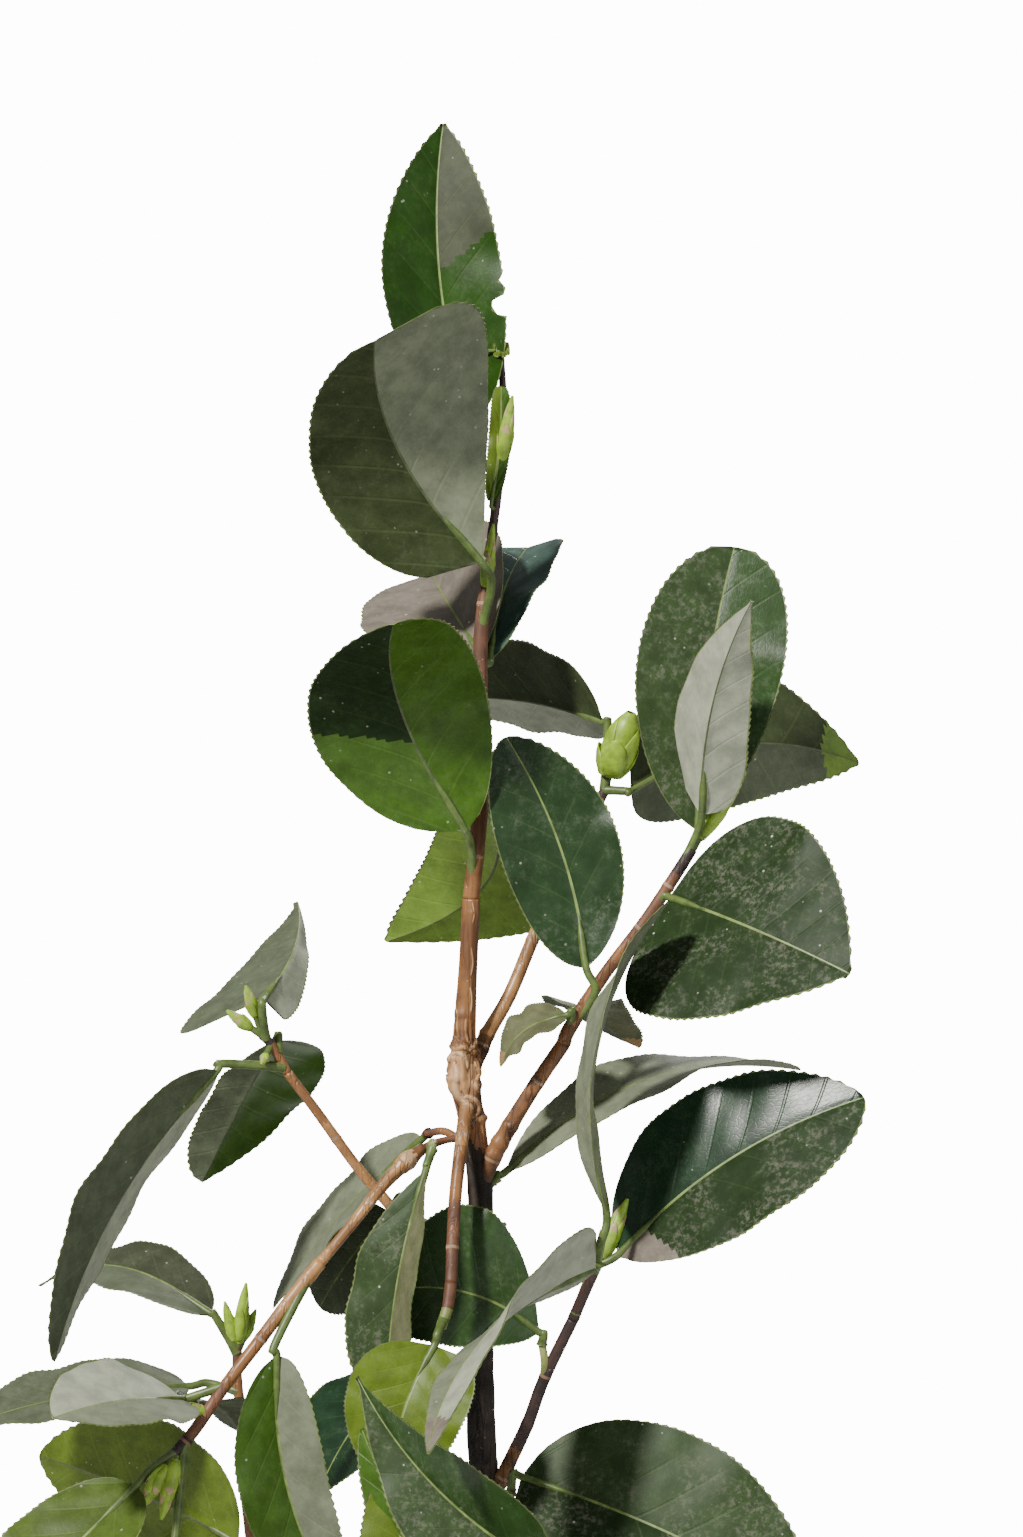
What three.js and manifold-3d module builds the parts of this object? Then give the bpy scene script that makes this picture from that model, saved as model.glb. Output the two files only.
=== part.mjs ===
// Camellia shrub: one young plant rooted in level ground, with its boughs and masses of leaves.
// Millimetres, +Z up, the front of the plant towards -Y. The origin is the middle of the flat
// cut under the trunk. Every limb and every mass of leaves is its own closed solid.

import * as THREE from "three";
import { mergeVertices } from "three/addons/utils/BufferGeometryUtils.js";
import Module from "manifold-3d";

const wasm = await Module();
wasm.setup();

// Driving sizes
const JOINT_GAP = 0.3;
const LEAF_THICKNESS = 1.1;
const LEAF_BASE_ROUND = 0.5;
const LEAF_TIP_ROUND = 0.66;
const LEAF_END_WIDTH = 0.05;
const LEAF_STEPS = 5;
const STALK_RADIUS = 1.6;
const STALK_END_RADIUS = 1.2;
const STALK_STEPS = 3;
const STALK_SIDES = 4;
const STALK_REACH = 0.22;
const STALK_BEND = 0.4;
const LIMB_SIDES = 8;
const TWIG_SIDES = 6;
const BUD_SIDES = 5;
const LIMB_STEP = 16;
const BUD_STALK_RADIUS = 1.1;
const BUD_PROFILE = [0.5, 0.92, 1, 0.78, 0.4, 0.1];
const MERGE = 1e-4;
const SMOOTHING = 0.1;

// The rule by which the shoots that have no leaf named grow theirs
const TURN = THREE.MathUtils.degToRad(137.5);
const GROWN_LENGTH = 74;
const GROWN_STALK = 11;
const GROWN_WIDTH = 0.56;
const GROWN_ARCH = 0.12;
const GROWN_FOLD = 14;
const GROWN_FIRST = 0.12;
const GROWN_SPREAD = 0.86;
const GROWN_TRIES = 300;
const GROWN_SIZES = [0.82, 1.12];
const GROWN_LIFTS = [-10.2, 23.8];
const GROWN_TURN_VARIES = 0.4;
const GROWN_FACE_LEAN = 0.3;
const GROWN_TWIST = 24;

// The room kept round limbs and leaves when a grown leaf is tried
const CHECK_STEPS = 6;
const CHECK_ACROSS = [-1, -0.5, 0, 0.5, 1];
const BALL_STEP = 6;
const LIMB_ROOM = 2.5;
const LEAF_ROOM = 7;

// Colours of the two kinds of stuff
const BARK = { color: 0x9a7250, roughness: 0.8, metalness: 0 };
const FOLIAGE = { color: 0x35533a, roughness: 0.45, metalness: 0 };

// Limbs: the places a limb passes, each with its radius there
const LIMBS = {
  trunk: [
    [0, 0, 0, 8.6], [0, 0, 24, 6.4], [2, 1, 60, 5.7], [3, 1, 110, 5.2], [2, 0, 165, 4.8],
    [0, 0, 215, 4.6], [-2, 0, 266, 4.2], [-2, 0, 319, 4.0], [-4, 0, 341, 3.9], [-7, 0, 360, 4.6],
    [-7, 0, 374, 3.5], [-6, 0, 394, 3.0], [-5, 0, 416, 2.8],
  ],
  right_inner_bough: [
    [-5, 2, 361, 2.4], [0, 7, 373, 2.4], [7, 12, 385, 2.2], [15, 17, 404, 2.1], [23, 22, 422, 2.0],
    [32, 27, 440, 1.9],
  ],
  right_bough: [[-3, 0, 325, 3.1], [5, -3, 341, 2.7], [14, -6, 356, 2.4], [24, -9, 371, 2.3]],
  lower_right_bough: [
    [0, 0, 224, 2.7], [8, -3, 241, 2.2], [13, -5, 252, 2.0], [18, -8, 266, 1.9], [27, -12, 285, 1.8],
  ],
  drooping_bough: [[-6, -3, 352, 2.4], [-8, -11, 340, 2.1], [-10, -20, 321, 2.0], [-11, -31, 298, 1.9]],
  left_bough: [
    [-5, 2, 341, 1.5], [-13, 1, 340, 1.5], [-19, -2, 338, 1.9], [-25, -5, 334, 3.0],
    [-33, -9, 326, 2.5], [-41, -12, 316, 2.3], [-52, -16, 303, 2.2],
  ],
  upper_left_bough: [
    [-2, 1, 282, 2.3], [-15, 5, 299, 2.0], [-30, 6, 318, 1.8], [-41, 6, 331, 1.7], [-54, 5, 349, 1.6],
    [-63, 4, 361, 1.5],
  ],
  back_bough: [[1, 0, 188, 2.7], [-8, 16, 205, 2.4], [-18, 33, 228, 2.2], [-24, 42, 255, 2.0]],
  second_stem: [
    [2, 1, 66, 4.2], [-22, 20, 96, 3.8], [-54, 46, 140, 3.3], [-72, 60, 180, 2.9], [-78, 62, 214, 2.4],
    [-81, 62, 248, 1.8],
  ],
  low_left_bough: [[2, 1, 112, 3.2], [-14, -8, 128, 2.6], [-36, -22, 144, 2.3], [-54, -32, 154, 2.0]],
  low_right_bough: [[2, 0, 130, 3.0], [20, 8, 146, 2.5], [42, 18, 162, 2.2], [58, 24, 172, 1.9]],
  low_front_bough: [[2, 1, 88, 3.2], [8, -20, 106, 2.7], [12, -46, 128, 2.4], [8, -64, 150, 2.1]],
  low_back_bough: [[2, 1, 116, 3.0], [8, 20, 132, 2.5], [18, 44, 148, 2.2], [24, 60, 158, 1.9]],
};

// Masses of leaves. A mass has its own stem, which goes on from the limb it names. Each leaf
// leaves the stem at a share of its length, and has the middle of its blade's foot, its tip, the
// way its upper face looks, and its width. Arch is how far its back bows to the upper side, sway
// how far it bows sideways, fold the angle each half is raised, and twist its turn from foot to
// tip. Ends say how round the foot and the tip are, left_ends the same for the left half where it
// differs, and lean how much wider one half is. Bend says how far the stalk overshoots the blade.
const MASSES = {
  leader_foliage: {
    on: "trunk",
    stem: [
      [-5, 0, 416, 2.7], [-3, 0, 435, 2.6], [-2, 1, 450, 2.5], [-2, 1, 474, 2.4], [-2, 1, 498, 2.3],
      [0, 2, 519, 1.8], [2, 2, 534, 1.5], [4, 2, 551, 1.5], [5, 3, 573, 1.3], [4, 3, 594, 0.8],
    ],
    leaves: [
      {
        at: 0.03, base: [-7, -9, 438], tip: [-28, -62, 501], face: [-10, 75, 57],
        width: 57, arch: 14, sway: 8, fold: 8, lean: 0.05, ends: [0.4, 0.6], left_ends: [0.64, 0.6],
      },
      {
        at: 0.24, base: [0, 6, 447], tip: [-33, 56, 401], face: [20, 75, 70],
        width: 54, arch: 6, sway: 17, fold: 10, lean: 0.18, ends: [0.5, 0.8],
      },
      {
        at: 0.41, base: [1, 6, 492], tip: [13, 48, 529], face: [-30, -50, 75],
        width: 33, arch: 5, fold: 10, ends: [0.6, 0.22],
      },
      {
        at: 0.42, base: [-2, 4, 493], tip: [-18, 62, 521], face: [-57, -35, 74],
        width: 58, arch: 6, fold: 25,
      },
      {
        at: 0.46, base: [-2, -9, 522], tip: [-34, -58, 587], face: [-20, 75, 42],
        width: 67, arch: 12, sway: 8, fold: 8, lean: -0.16, ends: [0.22, 0.42], left_ends: [0.9, 0.3],
      },
      {
        at: 0.76, base: [-5, 4, 566], tip: [-14, 14, 662], face: [10, -100, 15],
        width: 42, arch: 3, sway: -6, fold: 25, ends: [0.68, 0.85],
      },
    ],
    buds: [
      { at: 0.52, tip: [2, -4, 534], radius: 2.2, length: 22 },
      { at: 0.76, tip: [8, -6, 574], radius: 2.6, length: 22 },
    ],
  },
  right_inner_foliage: {
    on: "right_inner_bough",
    stem: [[32, 27, 440, 1.8], [36, 29, 447, 1.7], [38, 29, 451, 1.6]],
    leaves: [
      {
        at: 0.9, base: [46, 26, 450], tip: [121, 60, 459], face: [-45, 88, 10],
        width: 52, arch: 4, sway: 10, fold: 18, lean: 0.12, ends: [0.5, 0.8], bend: 0.15,
      },
      {
        at: 0.9, base: [37, 30, 472], tip: [-19, 60, 480], face: [30, 60, 70],
        width: 44, arch: 5, fold: 16, bend: 0.08,
      },
    ],
    buds: [{ at: 0.8, tip: [46, 22, 475], radius: 6.2, length: 22 }],
  },
  right_foliage: {
    on: "right_bough",
    stem: [
      [24, -9, 371, 2.3], [26, -10, 376, 2.3], [37, -12, 393, 2.0], [49, -14, 409, 1.9],
      [59, -15, 424, 1.9], [64, -15, 432, 1.8],
    ],
    leaves: [
      {
        at: 0.18, base: [31, -12, 395], tip: [6, -5, 467], face: [-10, -100, 10],
        width: 38, arch: -3, sway: 4.5, fold: 12, ends: [0.6, 0.62],
      },
      {
        at: 0.2, base: [25, -13, 380], tip: [4, -9, 364], face: [35, -35, 85],
        width: 20, arch: 5, fold: 8,
      },
      {
        at: 0.22, base: [32, 0, 381], tip: [49, 48, 367], face: [10, 20, 90],
        width: 26, arch: 6, sway: -11, fold: 10,
      },
      {
        at: 0.68, base: [57, -17, 417], tip: [110, -60, 395], face: [-42, -75, 50],
        width: 76, arch: 4, fold: 4, lean: 0.04, ends: [0.34, 0.9], left_ends: [0.5, 0.84],
      },
      {
        at: 0.95, base: [66, -12, 438], tip: [78, 2, 527], face: [0, -100, 12],
        width: 46, arch: 2, sway: -3, fold: 8, ends: [0.8, 0.5], left_ends: [0.6, 0.46],
      },
      {
        at: 0.9, base: [67, -19, 443], tip: [81, -54, 508], face: [45, 70, 35],
        width: 34, arch: 1, sway: 5, fold: 35, lean: 0.22, ends: [0.4, 1],
      },
    ],
    buds: [{ at: 0.97, tip: [81, -9, 456], radius: 2.8, length: 26 }],
  },
  trailing_leaf: {
    on: "trunk",
    stem: [[-2, 1, 322, 1.6], [1, 3, 326, 1.5], [4, 3, 328, 1.4]],
    leaves: [
      {
        at: 0.6, base: [6, 3, 330], tip: [100, 26, 361], face: [-35, -35, 90],
        width: 33, arch: 14, fold: 8, twist: 50, ends: [0.8, 0.66],
      },
    ],
  },
  lower_right_foliage: {
    on: "lower_right_bough",
    stem: [[27, -12, 285, 1.8], [31, -16, 295, 1.8], [34, -19, 302, 1.8]],
    leaves: [
      {
        at: 0.1, base: [41, -20, 306], tip: [116, -38, 356], face: [-35, -85, 45],
        width: 52, arch: 4, sway: -5, fold: 6, ends: [0.72, 0.66], left_ends: [0.5, 0.66],
      },
      {
        at: 0.97, base: [37, -34, 320], tip: [55, -46, 416], face: [-100, -10, 10],
        width: 36, arch: 13, fold: 6, twist: 40, ends: [0.85, 0.66],
      },
      {
        at: 0.9, base: [33, -26, 302], tip: [-17, -106, 256], face: [-69, -10, 73],
        width: 32, arch: 10, sway: 5, fold: 10, twist: 50, lean: -0.4, ends: [0.2, 0.7],
      },
    ],
    buds: [{ at: 0.95, tip: [44, -17, 323], radius: 3.4, length: 21 }],
  },
  inner_leaf: {
    on: "lower_right_bough",
    stem: [[18, -8, 266, 1.3], [18, -10, 272, 1.3], [17, -10, 278, 1.2]],
    leaves: [
      {
        at: 0.9, base: [16, -11, 281], tip: [-32, -15, 294], face: [30, -90, 30],
        width: 46, arch: 5, sway: 5, fold: 4, lean: 0.2, ends: [0.75, 0.5],
      },
    ],
  },
  hanging_leaf: {
    on: "left_bough",
    stem: [[-18, -2, 338, 1.4], [-17, -11, 340, 1.4], [-17, -17, 338, 1.3]],
    leaves: [
      {
        at: 0.9, base: [-19, -19, 332], tip: [-31, -24, 258], face: [-65, -75, 0],
        width: 30, arch: 5, fold: 25, ends: [0.85, 0.6], bend: 0.2,
      },
    ],
  },
  drooping_foliage: {
    on: "drooping_bough",
    stem: [[-11, -31, 298, 1.9], [-12, -34, 291, 1.8], [-14, -36, 285, 1.7]],
    leaves: [
      {
        at: 0.8, base: [-16, -41, 280], tip: [-29, -48, 235], face: [0, -85, 50],
        width: 38, arch: 4, sway: 3, fold: 4, ends: [0.35, 0.66],
      },
    ],
  },
  left_foliage: {
    on: "left_bough",
    stem: [
      [-52, -16, 303, 2.2], [-61, -20, 292, 2.1], [-71, -24, 279, 2.0], [-81, -28, 266, 1.9],
      [-90, -31, 253, 1.9], [-96, -33, 246, 1.8],
    ],
    leaves: [
      {
        at: 0.08, base: [-65, -26, 275], tip: [-43, -22, 193], face: [20, -95, 10],
        width: 30, arch: 2, sway: 8, fold: 20, lean: 0.12, bend: 0.12,
      },
      {
        at: 0.6, base: [-94, -28, 262], tip: [-130, -72, 262], face: [10, -50, 85],
        width: 38, arch: 3, fold: 8, bend: 0.1,
      },
      {
        at: 0.75, base: [-90, -24, 260], tip: [-78, 10, 247], face: [10, 20, 90],
        width: 26, arch: 4, fold: 8, bend: 0.1,
      },
      {
        at: 0.97, base: [-108, -34, 236], tip: [-160, -60, 181], face: [-30, -80, 50],
        width: 39, arch: 3, fold: 8,
      },
      {
        at: 0.9, base: [-96, -38, 218], tip: [-102, -58, 147], face: [-20, -90, 20],
        width: 44, arch: 4, fold: 10,
      },
    ],
    buds: [
      { at: 0.95, tip: [-107, -36, 229], radius: 3.0, length: 16 },
      { at: 0.97, tip: [-100, -37, 226], radius: 2.8, length: 19 },
      { at: 0.72, tip: [-91, -33, 261], radius: 1.6, length: 7 },
    ],
  },
  upper_left_foliage: {
    on: "upper_left_bough",
    stem: [[-63, 4, 361, 1.5], [-68, 2, 370, 1.5], [-71, 1, 373, 1.4]],
    leaves: [
      {
        at: 0.1, base: [-85, -3, 362], tip: [-134, -30, 274], face: [-75, 40, 40],
        width: 38, arch: 8, fold: 10, bend: 0.12,
      },
      {
        at: 0.3, base: [-67, 8, 371], tip: [-93, 52, 323], face: [-20, 60, 80],
        width: 38, arch: 6, sway: 3, fold: 14, lean: 0.44, ends: [0.62, 0.8], left_ends: [0.9, 0.5],
      },
      {
        at: 0.8, base: [-70, 0, 385], tip: [-62, 56, 414], face: [20, -50, 78],
        width: 47, arch: 2, sway: 4, fold: -44, lean: -0.52, ends: [0.14, 1.1], left_ends: [0.2, 1.2],
      },
    ],
    buds: [
      { at: 0.95, tip: [-76, -2, 389], radius: 2.2, length: 11 },
      { at: 0.9, tip: [-82, -2, 381], radius: 2.2, length: 10 },
      { at: 0.5, tip: [-71, -4, 364], radius: 1.5, length: 5 },
    ],
  },
  arched_leaf: {
    on: "trunk",
    stem: [[-5, 2, 337, 1.4], [-13, 9, 342, 1.3], [-20, 14, 341, 1.2]],
    leaves: [
      {
        at: 0.9, base: [-21, 17, 339], tip: [-70, 53, 282], face: [-70, -35, 60],
        width: 31, arch: 4, fold: 6,
      },
    ],
  },
  back_foliage: {
    on: "back_bough",
    stem: [[-24, 42, 255, 2.0], [-28, 42, 280, 1.8], [-31, 36, 304, 1.5]],
    leaves: [
      {
        at: 0.95, base: [-32, 48, 313], tip: [-55, 60, 281], face: [-40, -80, 20],
        width: 34, arch: 3, fold: 8,
      },
      {
        at: 0.2, base: [-27, 40, 262], tip: [-54, 20, 226], face: [-50, -50, 60],
        width: 44, arch: 4, fold: 10,
      },
      {
        at: 0.5, base: [-22, 54, 284], tip: [-8, 128, 268], face: [0, 20, 90],
        width: 46, arch: 8, fold: 12,
      },
      {
        at: 0.75, base: [-19, 50, 294], tip: [-4, 124, 296], face: [0, -20, 90],
        width: 34, arch: 8, fold: 12,
      },
    ],
  },
  second_stem_foliage: {
    on: "second_stem",
    stem: [[-81, 62, 248, 1.8], [-82, 62, 257, 1.6], [-82, 62, 268, 1.6]],
    leaves: [
      {
        at: 0.9, base: [-91, 62, 279], tip: [-150, 104, 284], face: [0, -40, 90],
        width: 31, arch: 12, fold: 6, bend: 0.1,
      },
      {
        at: 0.3, base: [-98, 62, 255], tip: [-169, 40, 245], face: [0, -35, 93],
        width: 36, arch: 4, fold: 8,
      },
    ],
    buds: [
      { at: 0.9, tip: [-79, 60, 289], radius: 2.6, length: 20 },
      { at: 0.9, tip: [-86, 60, 283], radius: 2.2, length: 14 },
      { at: 0.9, tip: [-76, 64, 280], radius: 2.0, length: 11 },
    ],
  },
  second_stem_leaf: {
    on: "second_stem",
    stem: [[-77, 61, 190, 1.5], [-78, 64, 196, 1.4], [-77, 66, 200, 1.3]],
    leaves: [
      {
        at: 0.9, base: [-82, 67, 203], tip: [-149, 88, 229], face: [30, 85, 40],
        width: 56, arch: 4, fold: 6,
      },
    ],
  },
  second_stem_low_foliage: {
    on: "second_stem",
    stem: [[-54, 46, 140, 1.9], [-64, 62, 146, 1.7], [-70, 76, 156, 1.5]],
    grown: { seed: 43, count: 5, first: 90, rise: -6, space: [[-175, 22, 90], [-6, 175, 192]] },
  },
  low_left_foliage: {
    on: "low_left_bough",
    stem: [[-54, -32, 154, 2.0], [-68, -40, 162, 1.8], [-82, -50, 172, 1.5]],
    grown: { seed: 11, count: 6, first: 200, rise: -6, space: [[-180, -135, 90], [-10, 28, 200]] },
  },
  low_right_foliage: {
    on: "low_right_bough",
    stem: [[58, 24, 172, 1.9], [72, 29, 176, 1.7], [88, 32, 182, 1.5]],
    grown: { seed: 7, count: 5, first: -20, rise: -4, space: [[8, -90, 100], [185, 100, 206]] },
  },
  low_front_foliage: {
    on: "low_front_bough",
    stem: [[8, -64, 150, 2.1], [2, -74, 172, 1.9], [-6, -78, 192, 1.7]],
    leaves: [
      {
        at: 0.97, base: [16, -83, 219], tip: [-39, -63, 273], face: [-50, -80, 20],
        width: 38, arch: 4, sway: -5, fold: 28, ends: [0.4, 1.2],
      },
      {
        at: 0.8, base: [-6, -66, 193], tip: [-38, -53, 256], face: [-50, -70, 20],
        width: 20, arch: 3, fold: 8,
      },
      {
        at: 0.7, base: [-14, -68, 183], tip: [-31, -55, 242], face: [-10, -90, 20],
        width: 30, arch: 3, fold: 8,
      },
    ],
    grown: { seed: 5, count: 4, first: 250, rise: -5, space: [[-60, -185, 90], [110, -30, 225]] },
  },
  low_back_foliage: {
    on: "low_back_bough",
    stem: [[24, 60, 158, 1.9], [30, 72, 166, 1.7], [34, 88, 174, 1.5]],
    grown: { seed: 41, count: 5, first: 60, rise: -10, space: [[-60, 24, 70], [150, 200, 194]] },
  },
  wide_low_leaf: {
    on: "trunk",
    stem: [[0, -1, 212, 1.6], [5, -8, 222, 1.5], [8, -12, 232, 1.4]],
    leaves: [
      {
        at: 0.9, base: [11, -14, 236], tip: [99, -42, 200], face: [0, -90, 40],
        width: 62, arch: 4, sway: -2, fold: 6,
      },
    ],
  },
};

const vector = (place) => new THREE.Vector3(place[0], place[1], place[2]);

// A run of dice that gives the same throws for the same seed
function dice(seed) {
  let state = seed * 7919;
  return () => {
    state = (state * 16807) % 2147483647;
    return state / 2147483647;
  };
}

// The middle line of a limb, and its radius at any share of its length
function limbLine(places) {
  const curve = new THREE.CatmullRomCurve3(places.map(vector), false, "catmullrom", 0.5);
  const radius = (share) => {
    const at = share * (places.length - 1);
    const from = Math.min(Math.floor(at), places.length - 2);
    return THREE.MathUtils.lerp(places[from][3], places[from + 1][3], at - from);
  };
  return { curve, radius };
}

// A closed mesh as a solid, its doubled vertices merged and its empty faces dropped
function solid(geometry) {
  geometry.deleteAttribute("normal");
  geometry.deleteAttribute("uv");
  const merged = mergeVertices(geometry, MERGE);
  const corners = merged.index.array;
  const kept = [];
  for (let i = 0; i < corners.length; i += 3) {
    const [a, b, c] = corners.slice(i, i + 3);
    if (a !== b && b !== c && c !== a) {
      kept.push(a, b, c);
    }
  }
  const mesh = new wasm.Mesh({
    numProp: 3,
    vertProperties: new Float32Array(merged.attributes.position.array),
    triVerts: new Uint32Array(kept),
  });
  return new wasm.Manifold(mesh);
}

// The bulk of a body that cutting or joining has made: loose scraps and sealed hollows go
function bulk(body) {
  return body.decompose().reduce((best, piece) => (piece.volume() > best.volume() ? piece : best));
}

// A round bar turned about its own line and then bent along a curve
function bentBar(curve, radius, sides, steps) {
  const profile = [new THREE.Vector2(0, 0)];
  for (let i = 0; i <= steps; i += 1) {
    profile.push(new THREE.Vector2(radius(i / steps), i / steps));
  }
  profile.push(new THREE.Vector2(0, 1));
  const bar = new THREE.LatheGeometry(profile, sides);
  const place = bar.attributes.position;
  const depth = new THREE.Vector3(0, 1, 0);
  for (let i = 0; i < place.count; i += 1) {
    const share = place.getY(i);
    const along = curve.getTangent(share);
    const side = new THREE.Vector3().crossVectors(along, depth).normalize();
    const up = new THREE.Vector3().crossVectors(side, along);
    const point = curve.getPoint(share);
    point.addScaledVector(side, place.getX(i)).addScaledVector(up, place.getZ(i));
    place.setXYZ(i, point.x, point.y, point.z);
  }
  return solid(bar);
}

function limbSolid(places, sides, growth = 0) {
  const { curve, radius } = limbLine(places);
  const steps = Math.max(2, Math.round(curve.getLength() / LIMB_STEP));
  return bentBar(curve, (share) => radius(share) + growth, sides, steps);
}

// The share of its full width that a leaf has at a share of its length
function leafOutline(along, [baseRound, tipRound] = [LEAF_BASE_ROUND, LEAF_TIP_ROUND]) {
  const widest = baseRound / (baseRound + tipRound);
  const peak = widest ** baseRound * (1 - widest) ** tipRound;
  const share = (along ** baseRound * (1 - along) ** tipRound) / peak;
  return Math.max(share, LEAF_END_WIDTH);
}

// A place on a leaf's blade: along 0 to 1, across -1 to 1, lifted off its middle surface
function leafPlace(leaf, along, across, lift) {
  const base = vector(leaf.base);
  const reach = vector(leaf.tip).sub(base);
  const axis = reach.clone().normalize();
  const face = vector(leaf.face);
  face.addScaledVector(axis, -face.dot(axis)).normalize();
  const side = new THREE.Vector3().crossVectors(axis, face);
  const turn = THREE.MathUtils.degToRad(leaf.twist ?? 0) * (along - 0.5);
  const across_way = side.clone().multiplyScalar(Math.cos(turn)).addScaledVector(face, Math.sin(turn));
  const up_way = face.clone().multiplyScalar(Math.cos(turn)).addScaledVector(side, -Math.sin(turn));
  const fold = THREE.MathUtils.degToRad(leaf.fold ?? 0);
  const lean = 1 + (leaf.lean ?? 0) * Math.sign(across);
  const ends = (across < 0 && leaf.left_ends) || leaf.ends;
  const half = 0.5 * leaf.width * leafOutline(along, ends) * lean;
  const bow = 4 * along * (1 - along);
  return base
    .addScaledVector(reach, along)
    .addScaledVector(face, bow * (leaf.arch ?? 0))
    .addScaledVector(side, bow * (leaf.sway ?? 0))
    .addScaledVector(across_way, across * half * Math.cos(fold))
    .addScaledVector(up_way, Math.abs(across) * half * Math.sin(fold) + lift);
}

function bladeSolid(leaf) {
  const blade = new THREE.BoxGeometry(2, LEAF_THICKNESS, 1, 2, 1, LEAF_STEPS);
  const place = blade.attributes.position;
  for (let i = 0; i < place.count; i += 1) {
    const along = 0.5 - place.getZ(i);
    const point = leafPlace(leaf, along, place.getX(i), place.getY(i));
    place.setXYZ(i, point.x, point.y, point.z);
  }
  return solid(blade);
}

// A leaf's stalk runs from the middle of the stem into the underside of the blade
function stalkSolid(leaf, root) {
  const base = vector(leaf.base);
  const reach = base.distanceTo(root);
  const into = leafPlace(leaf, STALK_REACH, 0, -0.3 * LEAF_THICKNESS);
  const axis = vector(leaf.tip).sub(base).normalize();
  const bend = base.clone().addScaledVector(axis, -(leaf.bend ?? STALK_BEND) * reach);
  const curve = new THREE.CatmullRomCurve3([root, bend, base, into], false, "catmullrom", 0.5);
  const radius = (share) => THREE.MathUtils.lerp(STALK_RADIUS, STALK_END_RADIUS, share);
  return bentBar(curve, radius, STALK_SIDES, STALK_STEPS);
}

function budSolid(bud, root) {
  const tip = vector(bud.tip);
  const whole = root.distanceTo(tip);
  const foot = Math.max(0, whole - bud.length) / whole;
  const radius = (share) => {
    if (share < foot) {
      return BUD_STALK_RADIUS;
    }
    const at = ((share - foot) / (1 - foot)) * (BUD_PROFILE.length - 1);
    const from = Math.min(Math.floor(at), BUD_PROFILE.length - 2);
    return bud.radius * THREE.MathUtils.lerp(BUD_PROFILE[from], BUD_PROFILE[from + 1], at - from);
  };
  return bentBar(new THREE.LineCurve3(root, tip), radius, BUD_SIDES, BUD_PROFILE.length);
}

// Points all over a leaf's blade
function bladePoints(leaf) {
  const points = [];
  for (let step = 0; step <= CHECK_STEPS; step += 1) {
    points.push(...CHECK_ACROSS.map((across) => leafPlace(leaf, step / CHECK_STEPS, across, 0)));
  }
  return points;
}

// Balls down a limb, each as wide as the limb and the room that a leaf leaves round it
function limbBalls(places) {
  const { curve, radius } = limbLine(places);
  const count = Math.ceil(curve.getLength() / BALL_STEP);
  return Array.from({ length: count + 1 }, (_, i) => {
    return { at: curve.getPoint(i / count), room: radius(i / count) + LIMB_ROOM };
  });
}

const leafBalls = (leaf) => bladePoints(leaf).map((at) => ({ at, room: LEAF_ROOM }));

// Leaves set round a stem by the rule: each turns on from the last, and dice vary it. One that
// would leave its mass's space, or touch a limb or a leaf already set, is skipped.
function grownLeaves(stem, { seed, count, first, rise, space }, taken) {
  const draw = dice(seed);
  const room = new THREE.Box3(vector(space[0]), vector(space[1]));
  const leaves = [];
  for (let i = 0; i < GROWN_TRIES && leaves.length < count; i += 1) {
    const at = GROWN_FIRST + (GROWN_SPREAD * leaves.length) / (count - 1);
    const heading = THREE.MathUtils.degToRad(first) + i * TURN + GROWN_TURN_VARIES * (draw() - 0.5);
    const lift = THREE.MathUtils.degToRad(rise + THREE.MathUtils.lerp(...GROWN_LIFTS, draw()));
    const length = GROWN_LENGTH * THREE.MathUtils.lerp(...GROWN_SIZES, draw());
    const out = new THREE.Vector3(
      Math.cos(heading) * Math.cos(lift),
      Math.sin(heading) * Math.cos(lift),
      Math.sin(lift),
    );
    const base = stem.getPoint(at).addScaledVector(out, GROWN_STALK);
    const leaf = {
      at,
      base: base.toArray(),
      tip: base.clone().addScaledVector(out, length).toArray(),
      face: [GROWN_FACE_LEAN * (draw() - 0.5 - out.x), GROWN_FACE_LEAN * (draw() - 0.5 - out.y), 1],
      width: GROWN_WIDTH * length,
      arch: GROWN_ARCH * length,
      fold: GROWN_FOLD,
      twist: GROWN_TWIST * (draw() - 0.5),
    };
    const stalk = stem.getPoint(at).addScaledVector(out, 0.5 * GROWN_STALK);
    const points = [stalk, ...bladePoints(leaf)];
    const clear = (point) => taken.every((ball) => point.distanceTo(ball.at) > ball.room);
    if (points.every((point) => room.containsPoint(point) && clear(point))) {
      leaves.push(leaf);
      taken.push(...leafBalls(leaf));
    }
  }
  return leaves;
}

function massSolid(mass, leaves) {
  const { curve } = limbLine(mass.stem);
  const parts = leaves.flatMap((leaf) => [bladeSolid(leaf), stalkSolid(leaf, curve.getPoint(leaf.at))]);
  for (const bud of mass.buds ?? []) {
    parts.push(budSolid(bud, curve.getPoint(bud.at)));
  }
  const joined = parts.reduce((whole, piece) => whole.add(piece), limbSolid(mass.stem, TWIG_SIDES));
  const cut = joined.subtract(limbSolid(LIMBS[mass.on], LIMB_SIDES, JOINT_GAP));
  return bulk(cut.simplify(SMOOTHING));
}

function boughSolid(places) {
  const trunk = limbSolid(LIMBS.trunk, LIMB_SIDES, JOINT_GAP);
  return bulk(limbSolid(places, LIMB_SIDES).subtract(trunk));
}

function named(name, body, look) {
  const { vertProperties, triVerts } = body.getMesh();
  const geometry = new THREE.BufferGeometry();
  geometry.setAttribute("position", new THREE.BufferAttribute(vertProperties, 3));
  geometry.setIndex(new THREE.BufferAttribute(triVerts, 1));
  const mesh = new THREE.Mesh(geometry, new THREE.MeshStandardMaterial(look));
  mesh.name = name;
  return mesh;
}

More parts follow.
